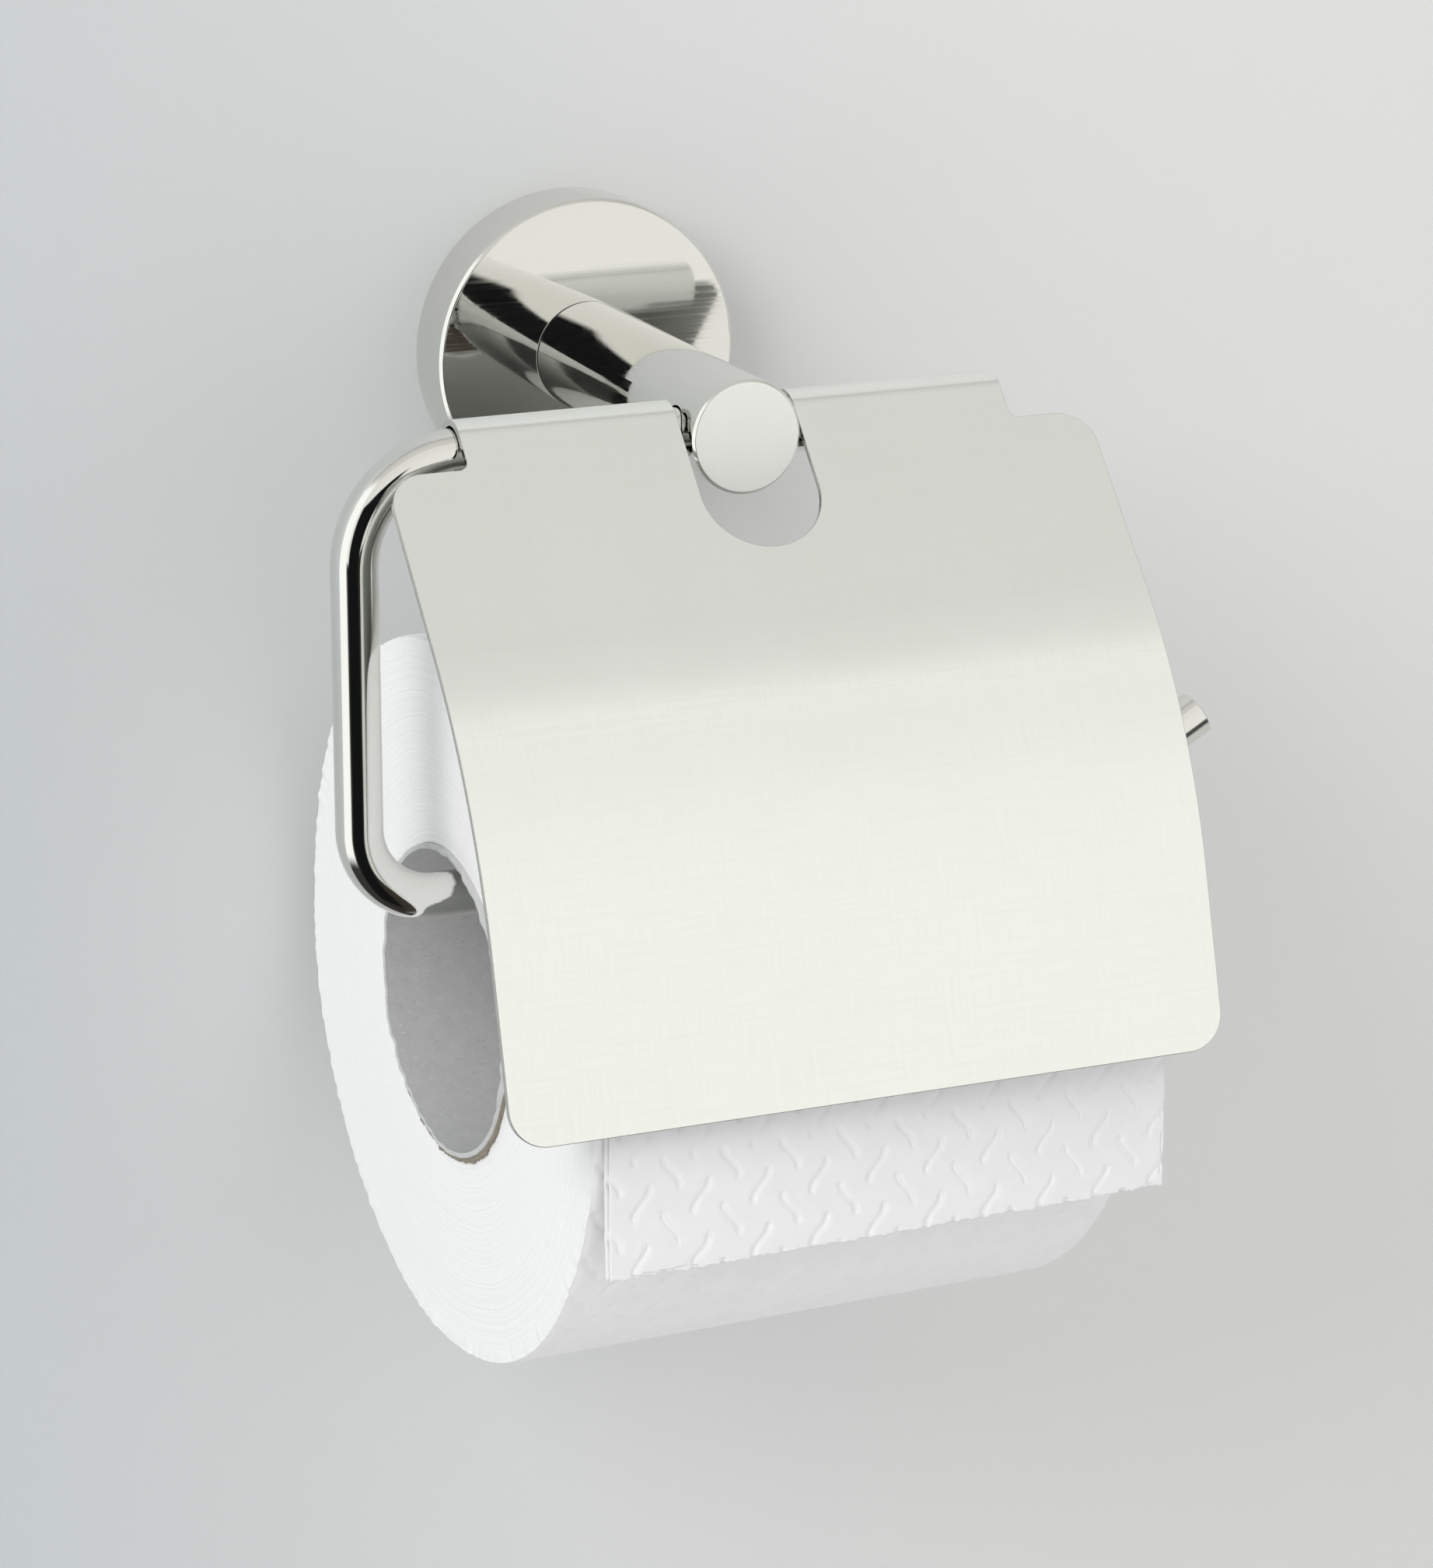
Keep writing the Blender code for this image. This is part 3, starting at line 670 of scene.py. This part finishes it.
def make_lid(steel, edge_steel):
    """The blank is cut at every fold line, folded, thickened and its edges broken."""
    half = lid_half_blank()
    outline = half + [(0.0, SLOT_BOTTOM)] + [(-x, along) for x, along in reversed(half)]
    bm = bmesh.new()
    bm.faces.new([bm.verts.new((x, along, 0.0)) for x, along in outline])
    folds = lid_folds()
    for line in folds[1:-1]:
        everything = bm.verts[:] + bm.edges[:] + bm.faces[:]
        bmesh.ops.bisect_plane(bm, geom=everything, dist=1e-7,
                               plane_co=(0, line, 0), plane_no=(0, 1, 0))
    for vert in bm.verts:
        y, z = lid_point(vert.co.y)
        vert.co = Vector((vert.co.x, HINGE.y + y, HINGE.z + z))
    bmesh.ops.recalc_face_normals(bm, faces=bm.faces[:])
    mesh = bpy.data.meshes.new("lid_sheet")
    bm.to_mesh(mesh)
    bm.free()
    mesh.shade_smooth()
    piece = new_object("lid_sheet", mesh, [steel, edge_steel], None)
    solidify = piece.modifiers.new("sheet", "SOLIDIFY")
    solidify.thickness = SHEET
    solidify.offset = 0.0
    solidify.use_even_offset = True
    solidify.material_offset_rim = 1
    bevel = piece.modifiers.new("broken_edges", "BEVEL")
    bevel.width = 0.12 * MM
    bevel.segments = 2
    bevel.limit_method = "ANGLE"
    bevel.angle_limit = math.radians(60)
    bevel.harden_normals = True
    bevel.material = 1
    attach(piece, "lid")
    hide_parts("lid")


# ---- the paper ------------------------------------------------------------------
def smoothstep(value):
    """From 0 to 1 with soft ends, as value goes from 0 to 1."""
    value = np.clip(value, 0.0, 1.0)
    return value * value * (3 - 2 * value)


def waves(seed, count, lowest, highest):
    """A smooth random function of one or two coordinates, made of a few seeded sines."""
    generator = random.Random(seed)
    parts = []
    for _ in range(count):
        scale = lowest * (highest / lowest) ** generator.random()
        heading = generator.uniform(0, 2 * math.pi)
        phase = generator.uniform(0, 2 * math.pi)
        parts.append((scale * math.cos(heading), scale * math.sin(heading), phase))

    def value(u, v=0.0):
        return sum(np.sin(u * a + v * b + phase) for a, b, phase in parts) / math.sqrt(count)

    return value


def ring_waves(seed, count, lowest, highest):
    """The same for an angle, so that it closes on itself after a full turn."""
    generator = random.Random(seed)
    parts = []
    for _ in range(count):
        number = generator.randint(lowest, highest)
        parts.append((number, generator.uniform(0, 2 * math.pi)))

    def value(angle):
        return sum(np.sin(angle * number + phase) for number, phase in parts) / math.sqrt(count)

    return value


def embossing(u, v):
    """Depth, 0 to 1, of the pressed strokes at (u, v): staggered columns of slanted S shapes."""
    column_pitch = 5.0 * MM
    row_pitch = 9.1 * MM
    reach = 2.3 * MM
    swing = 1.35 * MM
    half_width = 0.75 * MM
    depth = np.zeros_like(u)
    nearest_column = np.round(u / column_pitch)
    for column_step in (-1, 0, 1):
        column = nearest_column + column_step
        odd = np.mod(column, 2)
        side = 1 - 2 * odd
        row = np.round((v - odd * row_pitch / 2) / row_pitch)
        x = (u - column * column_pitch) * side
        y = np.clip(v - row * row_pitch - odd * row_pitch / 2, -1.4 * reach, 1.4 * reach)
        turn = np.clip(y / reach, -1, 1) * math.pi / 2
        slope = swing * math.pi / 2 / reach * np.cos(turn)
        away = np.abs(x + swing * np.sin(turn)) / np.sqrt(1 + slope ** 2)
        past_end = np.maximum(np.abs(y) - reach, 0.0)
        away = np.hypot(away, past_end)
        pressed = 0.65 + 0.35 * np.sin(turn) ** 2
        depth = np.maximum(depth, pressed * smoothstep(1.1 - away / half_width))
    return depth


def from_roll(points):
    """Moves points from the roll's own frame, X along its axis from its middle, to the model's."""
    x = points[..., 0].copy()
    y = points[..., 1].copy()
    points[..., 0] = ROLL_CENTRE.x + x * math.cos(ROLL_YAW) - y * math.sin(ROLL_YAW)
    points[..., 1] = ROLL_CENTRE.y + x * math.sin(ROLL_YAW) + y * math.cos(ROLL_YAW)
    points[..., 2] += ROLL_CENTRE.z
    return points


def ring_points(section, angles):
    """Points [angle, section] round the roll, from the (x, radius) of each ring at every angle."""
    points = np.empty((len(angles), len(section), 3))
    for j, (x, radius) in enumerate(section):
        points[:, j, 0] = x
        points[:, j, 1] = radius * np.cos(angles)
        points[:, j, 2] = radius * np.sin(angles)
    return from_roll(points)


def make_roll(outer_paper, edge_paper):
    """The wound paper: embossed outside, uneven ply edges at both ends."""
    angles = np.linspace(0, 2 * math.pi, 720, endpoint=False)
    outer = ROLL_R - 0.35 * MM
    inner = BOARD_OUTER_R + 0.1 * MM
    edge_round = 0.25 * MM
    end_inset = 0.35
    lump_height, crease_height, emboss_depth = 0.05, 0.03, 0.30
    face_rings = 34
    columns = 190
    lump = ring_waves(3, 6, 2, 9)
    ragged = {side: ring_waves(seed, 20, 10, 160) for side, seed in ((-1, 5), (1, 8))}
    drift = {side: ring_waves(seed, 5, 1, 6) for side, seed in ((-1, 15), (1, 18))}
    crease = waves(21, 8, 60, 260)
    section = []
    finishes = []

    def end_x(side, share):
        """The end face at that share of the way from the core to the outside."""
        rim = side * ROLL_LENGTH / 2
        wound = waves(31 + side, 12, 180, 900)(share * PAPER_DEPTH)
        uneven = 0.10 * wound + 0.12 * drift[side](angles) * share
        torn = 0.11 * ragged[side](angles) * smoothstep((share - 0.86) / 0.14)
        sunk = 0.35 * smoothstep((0.10 - share) / 0.10)
        return rim - side * MM * (end_inset + uneven * 0.8 + torn + sunk)

    def end_face(side, first, last):
        for share in np.linspace(first, last, face_rings):
            section.append((end_x(side, share), inner + (outer - edge_round - inner) * share))
            finishes.append(1)

    end_face(1, 0.0, 1.0)
    left, right = end_x(-1, 1.0), end_x(1, 1.0)
    for share in np.linspace(0.0025, 0.9975, columns):
        x = right + (left - right) * share
        around = angles * outer
        pressed = emboss_depth * embossing(x, around)
        near_edge = smoothstep(np.minimum(share, 1 - share) / 0.012)
        uneven = lump_height * lump(angles) + crease_height * crease(x, around)
        radius = outer + MM * (uneven - pressed)
        section.append((x, radius - edge_round * (1 - near_edge)))
        finishes.append(0)
    end_face(-1, 1.0, 0.0)
    for share in (0.25, 0.5, 0.75):
        section.append((ROLL_LENGTH * (share - 0.5), np.full_like(angles, inner)))
        finishes.append(1)
    mesh = grid_mesh("paper_roll_wound", ring_points(section, angles), True, True, 60)
    indices = np.tile(np.array(finishes), len(angles))
    mesh.polygons.foreach_set("material_index", indices)
    finishes = [outer_paper, edge_paper]
    new_object("paper_roll_wound", mesh, finishes, "roll", ["paper_roll"])


def make_core(board, dark_crescent_board):
    """The cardboard core, its cut ends a little ragged, and a dark brown crescent of board at one end.
    """
    angles = np.linspace(0, 2 * math.pi, 320, endpoint=False)
    inner = CORE_R - 1.35 * MM
    outer = BOARD_OUTER_R
    end_round = MM * 0.12
    lap_pitch = 0.11
    ridge_width = 0.012
    section = []
    ends = {}
    for side, seed in ((-1, 41), (1, 44)):
        rough = ring_waves(seed, 16, 9, 70)(angles)
        slow = ring_waves(seed + 1, 5, 1, 5)(angles)
        rim = side * CORE_LENGTH / 2
        ends[side] = rim - side * MM * (0.10 + 0.14 * rough + 0.18 * slow)
    seam = ring_waves(47, 5, 2, 8)(angles)
    for share in np.linspace(0.0, 1.0, 14):
        x = ends[1] + (ends[-1] - ends[1]) * share
        lap = np.mod(angles / (2 * math.pi) + x / lap_pitch, 1.0)
        ridge = 0.10 * smoothstep(lap / ridge_width) * smoothstep((1 - lap) / ridge_width)
        section.append((x, inner + MM * (0.10 - ridge + 0.04 * seam)))
    for share in (0.25, 0.55, 0.85):
        section.append((ends[-1] - end_round * share, inner + (outer - inner) * share))
    for share in np.linspace(1.0, 0.0, 6):
        x = ends[1] + (ends[-1] - ends[1]) * share
        section.append((x, np.full_like(angles, outer)))
    for share in (0.85, 0.55, 0.25):
        section.append((ends[1] + end_round * share, inner + (outer - inner) * share))
    section = [(x, np.broadcast_to(radius, angles.shape)) for x, radius in section]
    mesh = grid_mesh("core_wound", ring_points(section, angles), True, True, 60)
    reworked(mesh)
    new_object("core_wound", mesh, [board], "roll", ["cardboard_core"])
    make_dark_crescent(dark_crescent_board)


def make_dark_crescent(dark_crescent_board):
    """A dark brown crescent between the core and the first plies, at the left end's lower side."""
    start, end = math.radians(195), math.radians(345)
    angles = np.linspace(start, end, 150)
    share = (angles - start) / (end - start)
    swell = smoothstep(share / 0.35) * smoothstep((1 - share) / 0.3)
    rough = waves(53, 14, 25, 260)(angles)
    thick = MM * swell * np.clip(0.95 + 0.35 * rough, 0.15, 1.6) + 0.05 * MM
    lip = -ROLL_LENGTH / 2 - MM * (0.05 + 0.15 * waves(57, 12, 30, 240)(angles) * swell)
    bottom = BOARD_OUTER_R - 0.05 * MM
    section = []
    for along, out in ((0.0, 0.0), (0.0, 0.45), (0.15, 0.85), (0.6, 1.0), (2.0, 1.0), (2.0, 0.0)):
        section.append((lip + along * MM, bottom + thick * out))
    mesh = grid_mesh("core_dark_crescent", ring_points(section, angles), False, True, 40)
    reworked(mesh, 20)
    new_object("core_dark_crescent", mesh, [dark_crescent_board], "roll")


def tail_line(distance, radius):
    """(y, z) from the roll's axis down the loose sheet: round the roll, then straight down."""
    tuck_depth = 0.75 * MM
    tuck_length = 12 * MM
    wrapped = radius * TAIL_WRAP
    if distance < wrapped:
        angle = math.pi - TAIL_WRAP + distance / radius
        tuck = tuck_depth * smoothstep((tuck_length - distance) / tuck_length)
        near = radius - tuck
        return near * math.cos(angle), near * math.sin(angle)
    hung = distance - wrapped
    return -radius - 0.0005 * (hung / 0.027) ** 2, -hung


def make_tail(paper, name, nodes, behind, left_shift, short, seed):
    """One ply of the loose end. It crosses from the roll's front to the free hanging part."""
    radius = ROLL_R + TAIL_DROP_GAP - behind
    hanging = ROLL_CENTRE.z - TAIL_LOW.z - short
    length = radius * TAIL_WRAP + hanging
    left = TAIL_SHIFT - TAIL_WIDTH / 2 - left_shift
    right = TAIL_SHIFT + TAIL_WIDTH / 2 - left_shift
    columns = 340
    rows = 260
    bite_pitch = 2.6 * MM
    fan_width = 6 * MM
    emboss_start = 2.2 * MM
    across = np.linspace(left, right, columns)
    edge_noise = waves(seed, 16, 700, 4200)(across)
    slow = waves(seed + 1, 6, 40, 200)(across)
    bite = np.abs(np.mod(across / bite_pitch, 1.0) - 0.5) < 0.10
    slant = 0.3 * MM * (across - left) / (right - left)
    end = length - slant + MM * (0.12 * edge_noise + 0.15 * slow) + 0.22 * MM * bite
    ripple = waves(seed + 2, 7, 50, 180)
    side_noise = waves(seed + 3, 10, 250, 1500)
    points = np.empty((rows, columns, 3))
    for row in range(rows):
        share = row / (rows - 1)
        distance = length * share
        loose = smoothstep((distance - radius * TAIL_WRAP) / hanging)
        y, z = tail_line(distance, radius)
        y_next, z_next = tail_line(distance + 0.05 * MM, radius)
        tangent = Vector((y_next - y, z_next - z)).normalized()
        outward = Vector((tangent.y, -tangent.x))
        pressed = embossing(across + left_shift, np.full(columns, distance + emboss_start))
        lying = smoothstep((radius * TAIL_WRAP - distance) / (4 * MM))
        dent = 0.34 - 0.18 * lying
        swell = MM * (0.22 * ripple(across, distance) * loose - dent * pressed)
        frayed = 0.12 * MM * side_noise(distance)
        squeeze = 1 + frayed / (right - left)
        stretch = (end - length) * smoothstep((share - 0.93) / 0.07)
        points[row, :, 0] = left + (across - left) * squeeze
        points[row, :, 1] = y + outward.x * swell + tangent.x * stretch
        points[row, :, 2] = z + outward.y * swell + tangent.y * stretch
        fan = smoothstep((left + fan_width - across) / fan_width) * loose
        points[row, :, 1] += behind * 1.2 * fan
    mesh = grid_mesh(name, from_roll(points), False, False, 80)
    piece = new_object(name, mesh, [paper], None)
    solidify = piece.modifiers.new("ply", "SOLIDIFY")
    solidify.thickness = 0.16 * MM
    solidify.offset = 0.0
    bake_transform(piece)
    if nodes:
        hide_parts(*nodes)


# ---- hidden fixings -------------------------------------------------------------
def points_about_y(axis, section, turns):
    """Points [ring, side] about a line along Y, from the (y, radius) of each ring."""
    points = np.empty((len(section), len(turns), 3))
    for i, (y, radius) in enumerate(section):
        points[i, :, 0] = axis.x + radius * np.cos(turns)
        points[i, :, 1] = y
        points[i, :, 2] = axis.z + radius * np.sin(turns)
    return points


def threaded(name, node, finish):
    """A wood screw along +Y: countersunk head, coarse thread, pointed end."""
    core_share = 0.68
    pitch = 1.8 * MM
    head_length = 1.8 * MM
    point_length = 5 * MM
    low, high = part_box(node)
    axis = (low + high) / 2
    length = high.y - low.y
    shank = 2.0 * MM
    head = (high.x - low.x) / 2
    sides = 40
    turns = np.linspace(0, 2 * math.pi, sides, endpoint=False)
    stations = np.concatenate([[0.0], np.linspace(0.05 * MM, head_length, 6),
                               np.linspace(head_length + 0.1 * MM, length, 230)])
    section = []
    for along in stations:
        if along <= head_length:
            narrowed = (head - shank * core_share) * max(along / head_length, 0.0)
            radius = np.full(sides, head - narrowed)
        else:
            ridge = np.mod(along / pitch - turns / (2 * math.pi), 1.0)
            crest = smoothstep(1 - np.abs(ridge - 0.5) / 0.28)
            taper = min(1.0, (length - along) / point_length) ** 0.7
            grown = smoothstep((along - head_length) / MM)
            full = shank * max(taper, 0.02)
            radius = full * (core_share + (1 - core_share) * crest * grown)
        section.append((low.y + along, radius))
    mesh = grid_mesh(name, points_about_y(axis, section, turns), False, True, 35)
    reworked(mesh, sides)
    piece = new_object(name, mesh, [finish], None)
    smooth(piece.data, 35)
    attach(piece, "root")
    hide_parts(node)


def plug(name, node, finish):
    """A ribbed wall plug round the screw, with a plain collar and two slits along it."""
    low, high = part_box(node)
    axis = (low + high) / 2
    outer = (high.x - low.x) / 2
    bore = 2.3 * MM
    tooth_pitch = 2.2 * MM
    tooth_depth = 0.42 * MM
    slit_depth = 0.35 * MM
    collar_stations = 8
    sides = 96
    turns = np.linspace(0, 2 * math.pi, sides, endpoint=False)
    slit = np.abs(np.cos(turns)) < 0.09
    section = []
    for i, y in enumerate(np.linspace(low.y, high.y, 110)):
        tooth = 1 - np.mod((y - low.y) / tooth_pitch, 1.0)
        collar = i < collar_stations
        depth = 0.0 if collar else tooth_depth * (1 - tooth)
        radius = outer - depth - np.where(slit & (not collar), slit_depth, 0.0)
        section.append((y, radius))
    for y in (high.y, low.y):
        section.append((y, np.full(sides, bore)))
    mesh = grid_mesh(name, points_about_y(axis, section, turns), True, True, 30)
    reworked(mesh)
    piece = new_object(name, mesh, [finish], None)
    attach(piece, "root")
    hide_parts(node)


def refinish(node, finish):
    """Gives a CAD node that keeps its shape a better material."""
    thing = NODES[node]
    thing.data.materials.clear()
    thing.data.materials.append(finish)


# ---- the studio -----------------------------------------------------------------
def wall_material():
    """Darker and bluer to the left, a painted shade and painted reflection, and seen from the front
    only, so that it never hides the holder.
    """
    made, nodes, place = surface("studio_wall", Roughness=0.55)
    parts = nodes.add("ShaderNodeSeparateXYZ")
    nodes.put(parts.inputs[0], place)
    cloud = nodes.noise(place, 3.0, 2.0)
    bright = nodes.mix(cloud, (0.82, 0.82, 0.81), (0.85, 0.85, 0.84))
    # The left of the wall is darker and bluer: painted shade and painted reflection, not lighting.
    shade = nodes.mix(nodes.fade(parts.outputs[0], -0.16, 0.10), (0.62, 0.655, 0.66), bright)
    nodes.set("Base Color", shade)
    clear = nodes.add("ShaderNodeBsdfTransparent")
    either = nodes.add("ShaderNodeMixShader")
    facing = nodes.add("ShaderNodeNewGeometry").outputs["Backfacing"]
    output = next(node for node in made.node_tree.nodes if node.type == "OUTPUT_MATERIAL")
    nodes.put(either.inputs[0], facing)
    nodes.put(either.inputs[1], nodes.shader.outputs[0])
    nodes.put(either.inputs[2], clear.outputs[0])
    nodes.put(output.inputs["Surface"], either.outputs[0])
    return made


def floor_material():
    """A plain pale floor with a faint mottle."""
    made, nodes, place = surface("studio_floor", Roughness=0.6)
    nodes.set("Base Color", nodes.mix(nodes.noise(place, 4.0, 2.0), 0.78, 0.82))
    return made


def stage_plane(name, corners, finish):
    """A flat piece of the studio, which is not part of the model."""
    mesh = bpy.data.meshes.new(name)
    bm = bmesh.new()
    bm.faces.new([bm.verts.new(corner) for corner in corners])
    bmesh.ops.subdivide_edges(bm, edges=bm.edges[:], cuts=3, use_grid_fill=True)
    bm.to_mesh(mesh)
    bm.free()
    mesh.materials.append(finish)
    plane = bpy.data.objects.new(name, mesh)
    bpy.context.scene.collection.objects.link(plane)
    return plane


def make_stage():
    """The wall behind the holder and the floor, which no polished piece mirrors."""
    floor_z = -0.32
    far = 3.0
    wall_y = -0.0002
    stage_plane("backdrop_wall", [(-far, wall_y, floor_z), (far, wall_y, floor_z),
                                  (far, wall_y, far), (-far, wall_y, far)], wall_material())
    floor = stage_plane("floor", [(-far, -far, floor_z), (far, -far, floor_z),
                                  (far, far, floor_z), (-far, far, floor_z)], floor_material())
    floor.visible_glossy = False


def direction_angles(nodes):
    """A direction's angles: round to the right, up over the top, and above the horizon."""
    parts = nodes.add("ShaderNodeSeparateXYZ")
    nodes.put(parts.inputs[0], nodes.add("ShaderNodeTexCoord").outputs["Generated"])
    x, y, z = parts.outputs
    ahead = nodes.math("MULTIPLY", y, -1.0)
    turn = 180 / math.pi
    heading = nodes.math("MULTIPLY", nodes.math("ARCTAN2", x, ahead), turn)
    pitch = nodes.math("MULTIPLY", nodes.math("ARCTAN2", z, ahead), turn)
    rise = nodes.math("MULTIPLY", nodes.math("ARCSINE", z), turn)
    return heading, pitch, rise


def between(nodes, value, start, end, soft):
    """1 between start and end, 0 outside, over a soft edge."""
    up = nodes.fade(value, start - soft, start + soft)
    down = nodes.fade(value, end - soft, end + soft, 1.0, 0.0)
    return nodes.math("MULTIPLY", up, down)


# What the steel mirrors, by the angle in degrees up over the top from straight ahead.
ROOM_BANDS = [(-180, 0.30), (-95, 0.04), (-50, 0.05), (-15, 0.08), (-12, 0.99), (20, 0.97),
              (32, 0.95), (44, 0.90), (50, 0.90), (54, 0.96), (58, 0.77), (68, 0.73), (78, 0.69),
              (92, 0.50), (180, 0.45)]
# What it mirrors low in front: places on a ramp from 50 degrees left to 50 degrees right.
LOW_FRONT_BANDS = [(0.48, (0.035, 0.030, 0.025)), (0.70, (0.060, 0.050, 0.040)),
                   (0.717, (0.27, 0.265, 0.24)), (0.735, (0.34, 0.335, 0.31)),
                   (0.79, (0.26, 0.255, 0.22)), (0.83, 0.08), (0.94, 0.09), (1.0, 0.55)]
LOW_FRONT_EDGE = (0.95, 0.95, 0.91)
# Patches over that: headings, heights and soft edges in degrees, and a colour.
ROOM_PATCHES = [((-47, -1), (-70, 23), (3.0, 1.0), (0.008, 0.009, 0.009)),   # dark doorway
                ((-122, -56), (-38, 45), (4.0, 6.0), (1.22, 1.24, 1.22)),    # window
                ((56, 125), (-60, 30), (4.0, 6.0), (0.66, 0.67, 0.63))]      # right wall
SOFT_LIGHT = [(0.0, 0.48), (0.5, 0.58), (1.0, 0.68)]
BEHIND_EVERYTHING = (0.86, 0.865, 0.87)


def make_world():
    """What polished steel mirrors: a pale room with a window on the left and a dark floor."""
    world = bpy.data.worlds.new("studio")
    bpy.context.scene.world = world
    world.use_nodes = True
    nodes = Nodes(world.node_tree)
    heading, pitch, rise = direction_angles(nodes)
    tinted = [((angle + 180) / 360, (shade, shade * 1.002, shade * 0.965))
              for angle, shade in ROOM_BANDS]
    room = nodes.ramp(nodes.math("MULTIPLY_ADD", pitch, 1 / 360, 0.5), tinted)

    above = nodes.fade(rise, -10.45, -10.15)
    low = nodes.ramp(nodes.math("MULTIPLY_ADD", heading, 1 / 100, 0.5), LOW_FRONT_BANDS)
    right_edge = nodes.fade(heading, 23.05, 23.35)
    near_horizon = nodes.fade(rise, -17.0, -14.0)
    low = nodes.mix(nodes.math("MULTIPLY", right_edge, near_horizon), low, LOW_FRONT_EDGE)
    front = between(nodes, heading, -55, 60, 1.5)
    low_front = nodes.math("MULTIPLY", front, nodes.math("SUBTRACT", 1.0, above))
    room = nodes.mix(low_front, room, low)

    for headings, heights, edges, shade in ROOM_PATCHES:
        wide = between(nodes, heading, *headings, edges[0])
        tall = between(nodes, rise, *heights, edges[1])
        room = nodes.mix(nodes.math("MULTIPLY", wide, tall), room, shade)

    soft = nodes.ramp(nodes.math("MULTIPLY_ADD", rise, 1 / 180, 0.5), SOFT_LIGHT)
    soft = nodes.mix(nodes.fade(heading, 10.0, -80.0, 0.0, 0.50), soft, 1.20)
    path = nodes.add("ShaderNodeLightPath")
    shade = nodes.mix(path.outputs["Is Glossy Ray"], soft, room)
    shade = nodes.mix(path.outputs["Is Camera Ray"], shade, BEHIND_EVERYTHING)
    background = nodes.add("ShaderNodeBackground")
    nodes.put(background.inputs["Color"], shade)
    output = nodes.add("ShaderNodeOutputWorld")
    nodes.put(output.inputs["Surface"], background.outputs[0])


def area_light(name, place, target, size, power):
    """A round soft light that no polished piece mirrors."""
    light = bpy.data.lights.new(name, "AREA")
    light.shape = "DISK"
    light.size = size
    light.energy = power
    lamp = bpy.data.objects.new(name, light)
    lamp.location = place
    lamp.rotation_euler = (Vector(target) - Vector(place)).to_track_quat("-Z", "Y").to_euler()
    lamp.visible_glossy = False
    bpy.context.scene.collection.objects.link(lamp)


def make_lights():
    """A key light from the upper left and a weaker fill from the right."""
    middle = (0.0, -0.06, -0.05)
    area_light("key", (-1.1, -0.75, 0.75), middle, size=0.9, power=9.0)
    area_light("fill", (0.9, -1.2, 0.3), middle, size=1.2, power=2.0)


def make_camera():
    """From the front left and above, as a viewer stands before the holder."""
    data = bpy.data.cameras.new("camera")
    data.lens = 121.83
    data.sensor_width = 36.0
    camera = bpy.data.objects.new("camera", data)
    camera.location = (-0.3234, -0.8230, 0.1861)
    camera.rotation_euler = (math.radians(73.35), 0.0, math.radians(-23.14))
    bpy.context.scene.collection.objects.link(camera)
    bpy.context.scene.camera = camera


make_camera()
make_lights()
make_world()
make_stage()
bpy.context.scene.view_settings.view_transform = "Standard"

STEEL = polished_steel()
ZINC = turned_metal("zinc_plate", (0.55, 0.56, 0.58), (0.70, 0.69, 0.66), 0.34)
DARK = turned_metal("blackened_steel", (0.07, 0.07, 0.08), (0.15, 0.15, 0.16), 0.38)
NYLON = nylon()
make_rosette(STEEL)
make_post(STEEL, faced_steel())
make_rod(STEEL)
make_lid(lid_steel(), cut_edge())
make_roll(tissue("tissue", (0.93, 0.93, 0.925), 0.10), paper_edge())
# The second board colour is a dark brown, for a crescent at the lower side of the core's left end.
make_core(cardboard("core_board", (0.50, 0.505, 0.50), (0.64, 0.645, 0.64)),
          cardboard("dark_crescent_board", (0.22, 0.19, 0.155), (0.36, 0.32, 0.27)))
LOOSE_PAPER = tissue("loose_tissue", (0.92, 0.92, 0.925), 0.15)
make_tail(LOOSE_PAPER, "paper_tail_front_ply", ["paper_tail"],
          behind=0.0, left_shift=0.0, short=0.0, seed=61)
make_tail(LOOSE_PAPER, "paper_tail_back_ply", [],
          behind=0.32 * MM, left_shift=0.6 * MM, short=0.5 * MM, seed=71)
for label in ("left", "right"):
    threaded("wall_screw_thread_" + label, "wall_screw_" + label, ZINC)
    plug("wall_plug_ribbed_" + label, "wall_plug_" + label, NYLON)
refinish("wall_plate", turned_metal("turned_steel", (0.46, 0.46, 0.45), (0.60, 0.60, 0.58), 0.36))
for label in ("post_screw", "post_washer"):
    refinish(label, ZINC)
for label in ("rosette_grub_screw", "rod_grub_screw"):
    refinish(label, DARK)
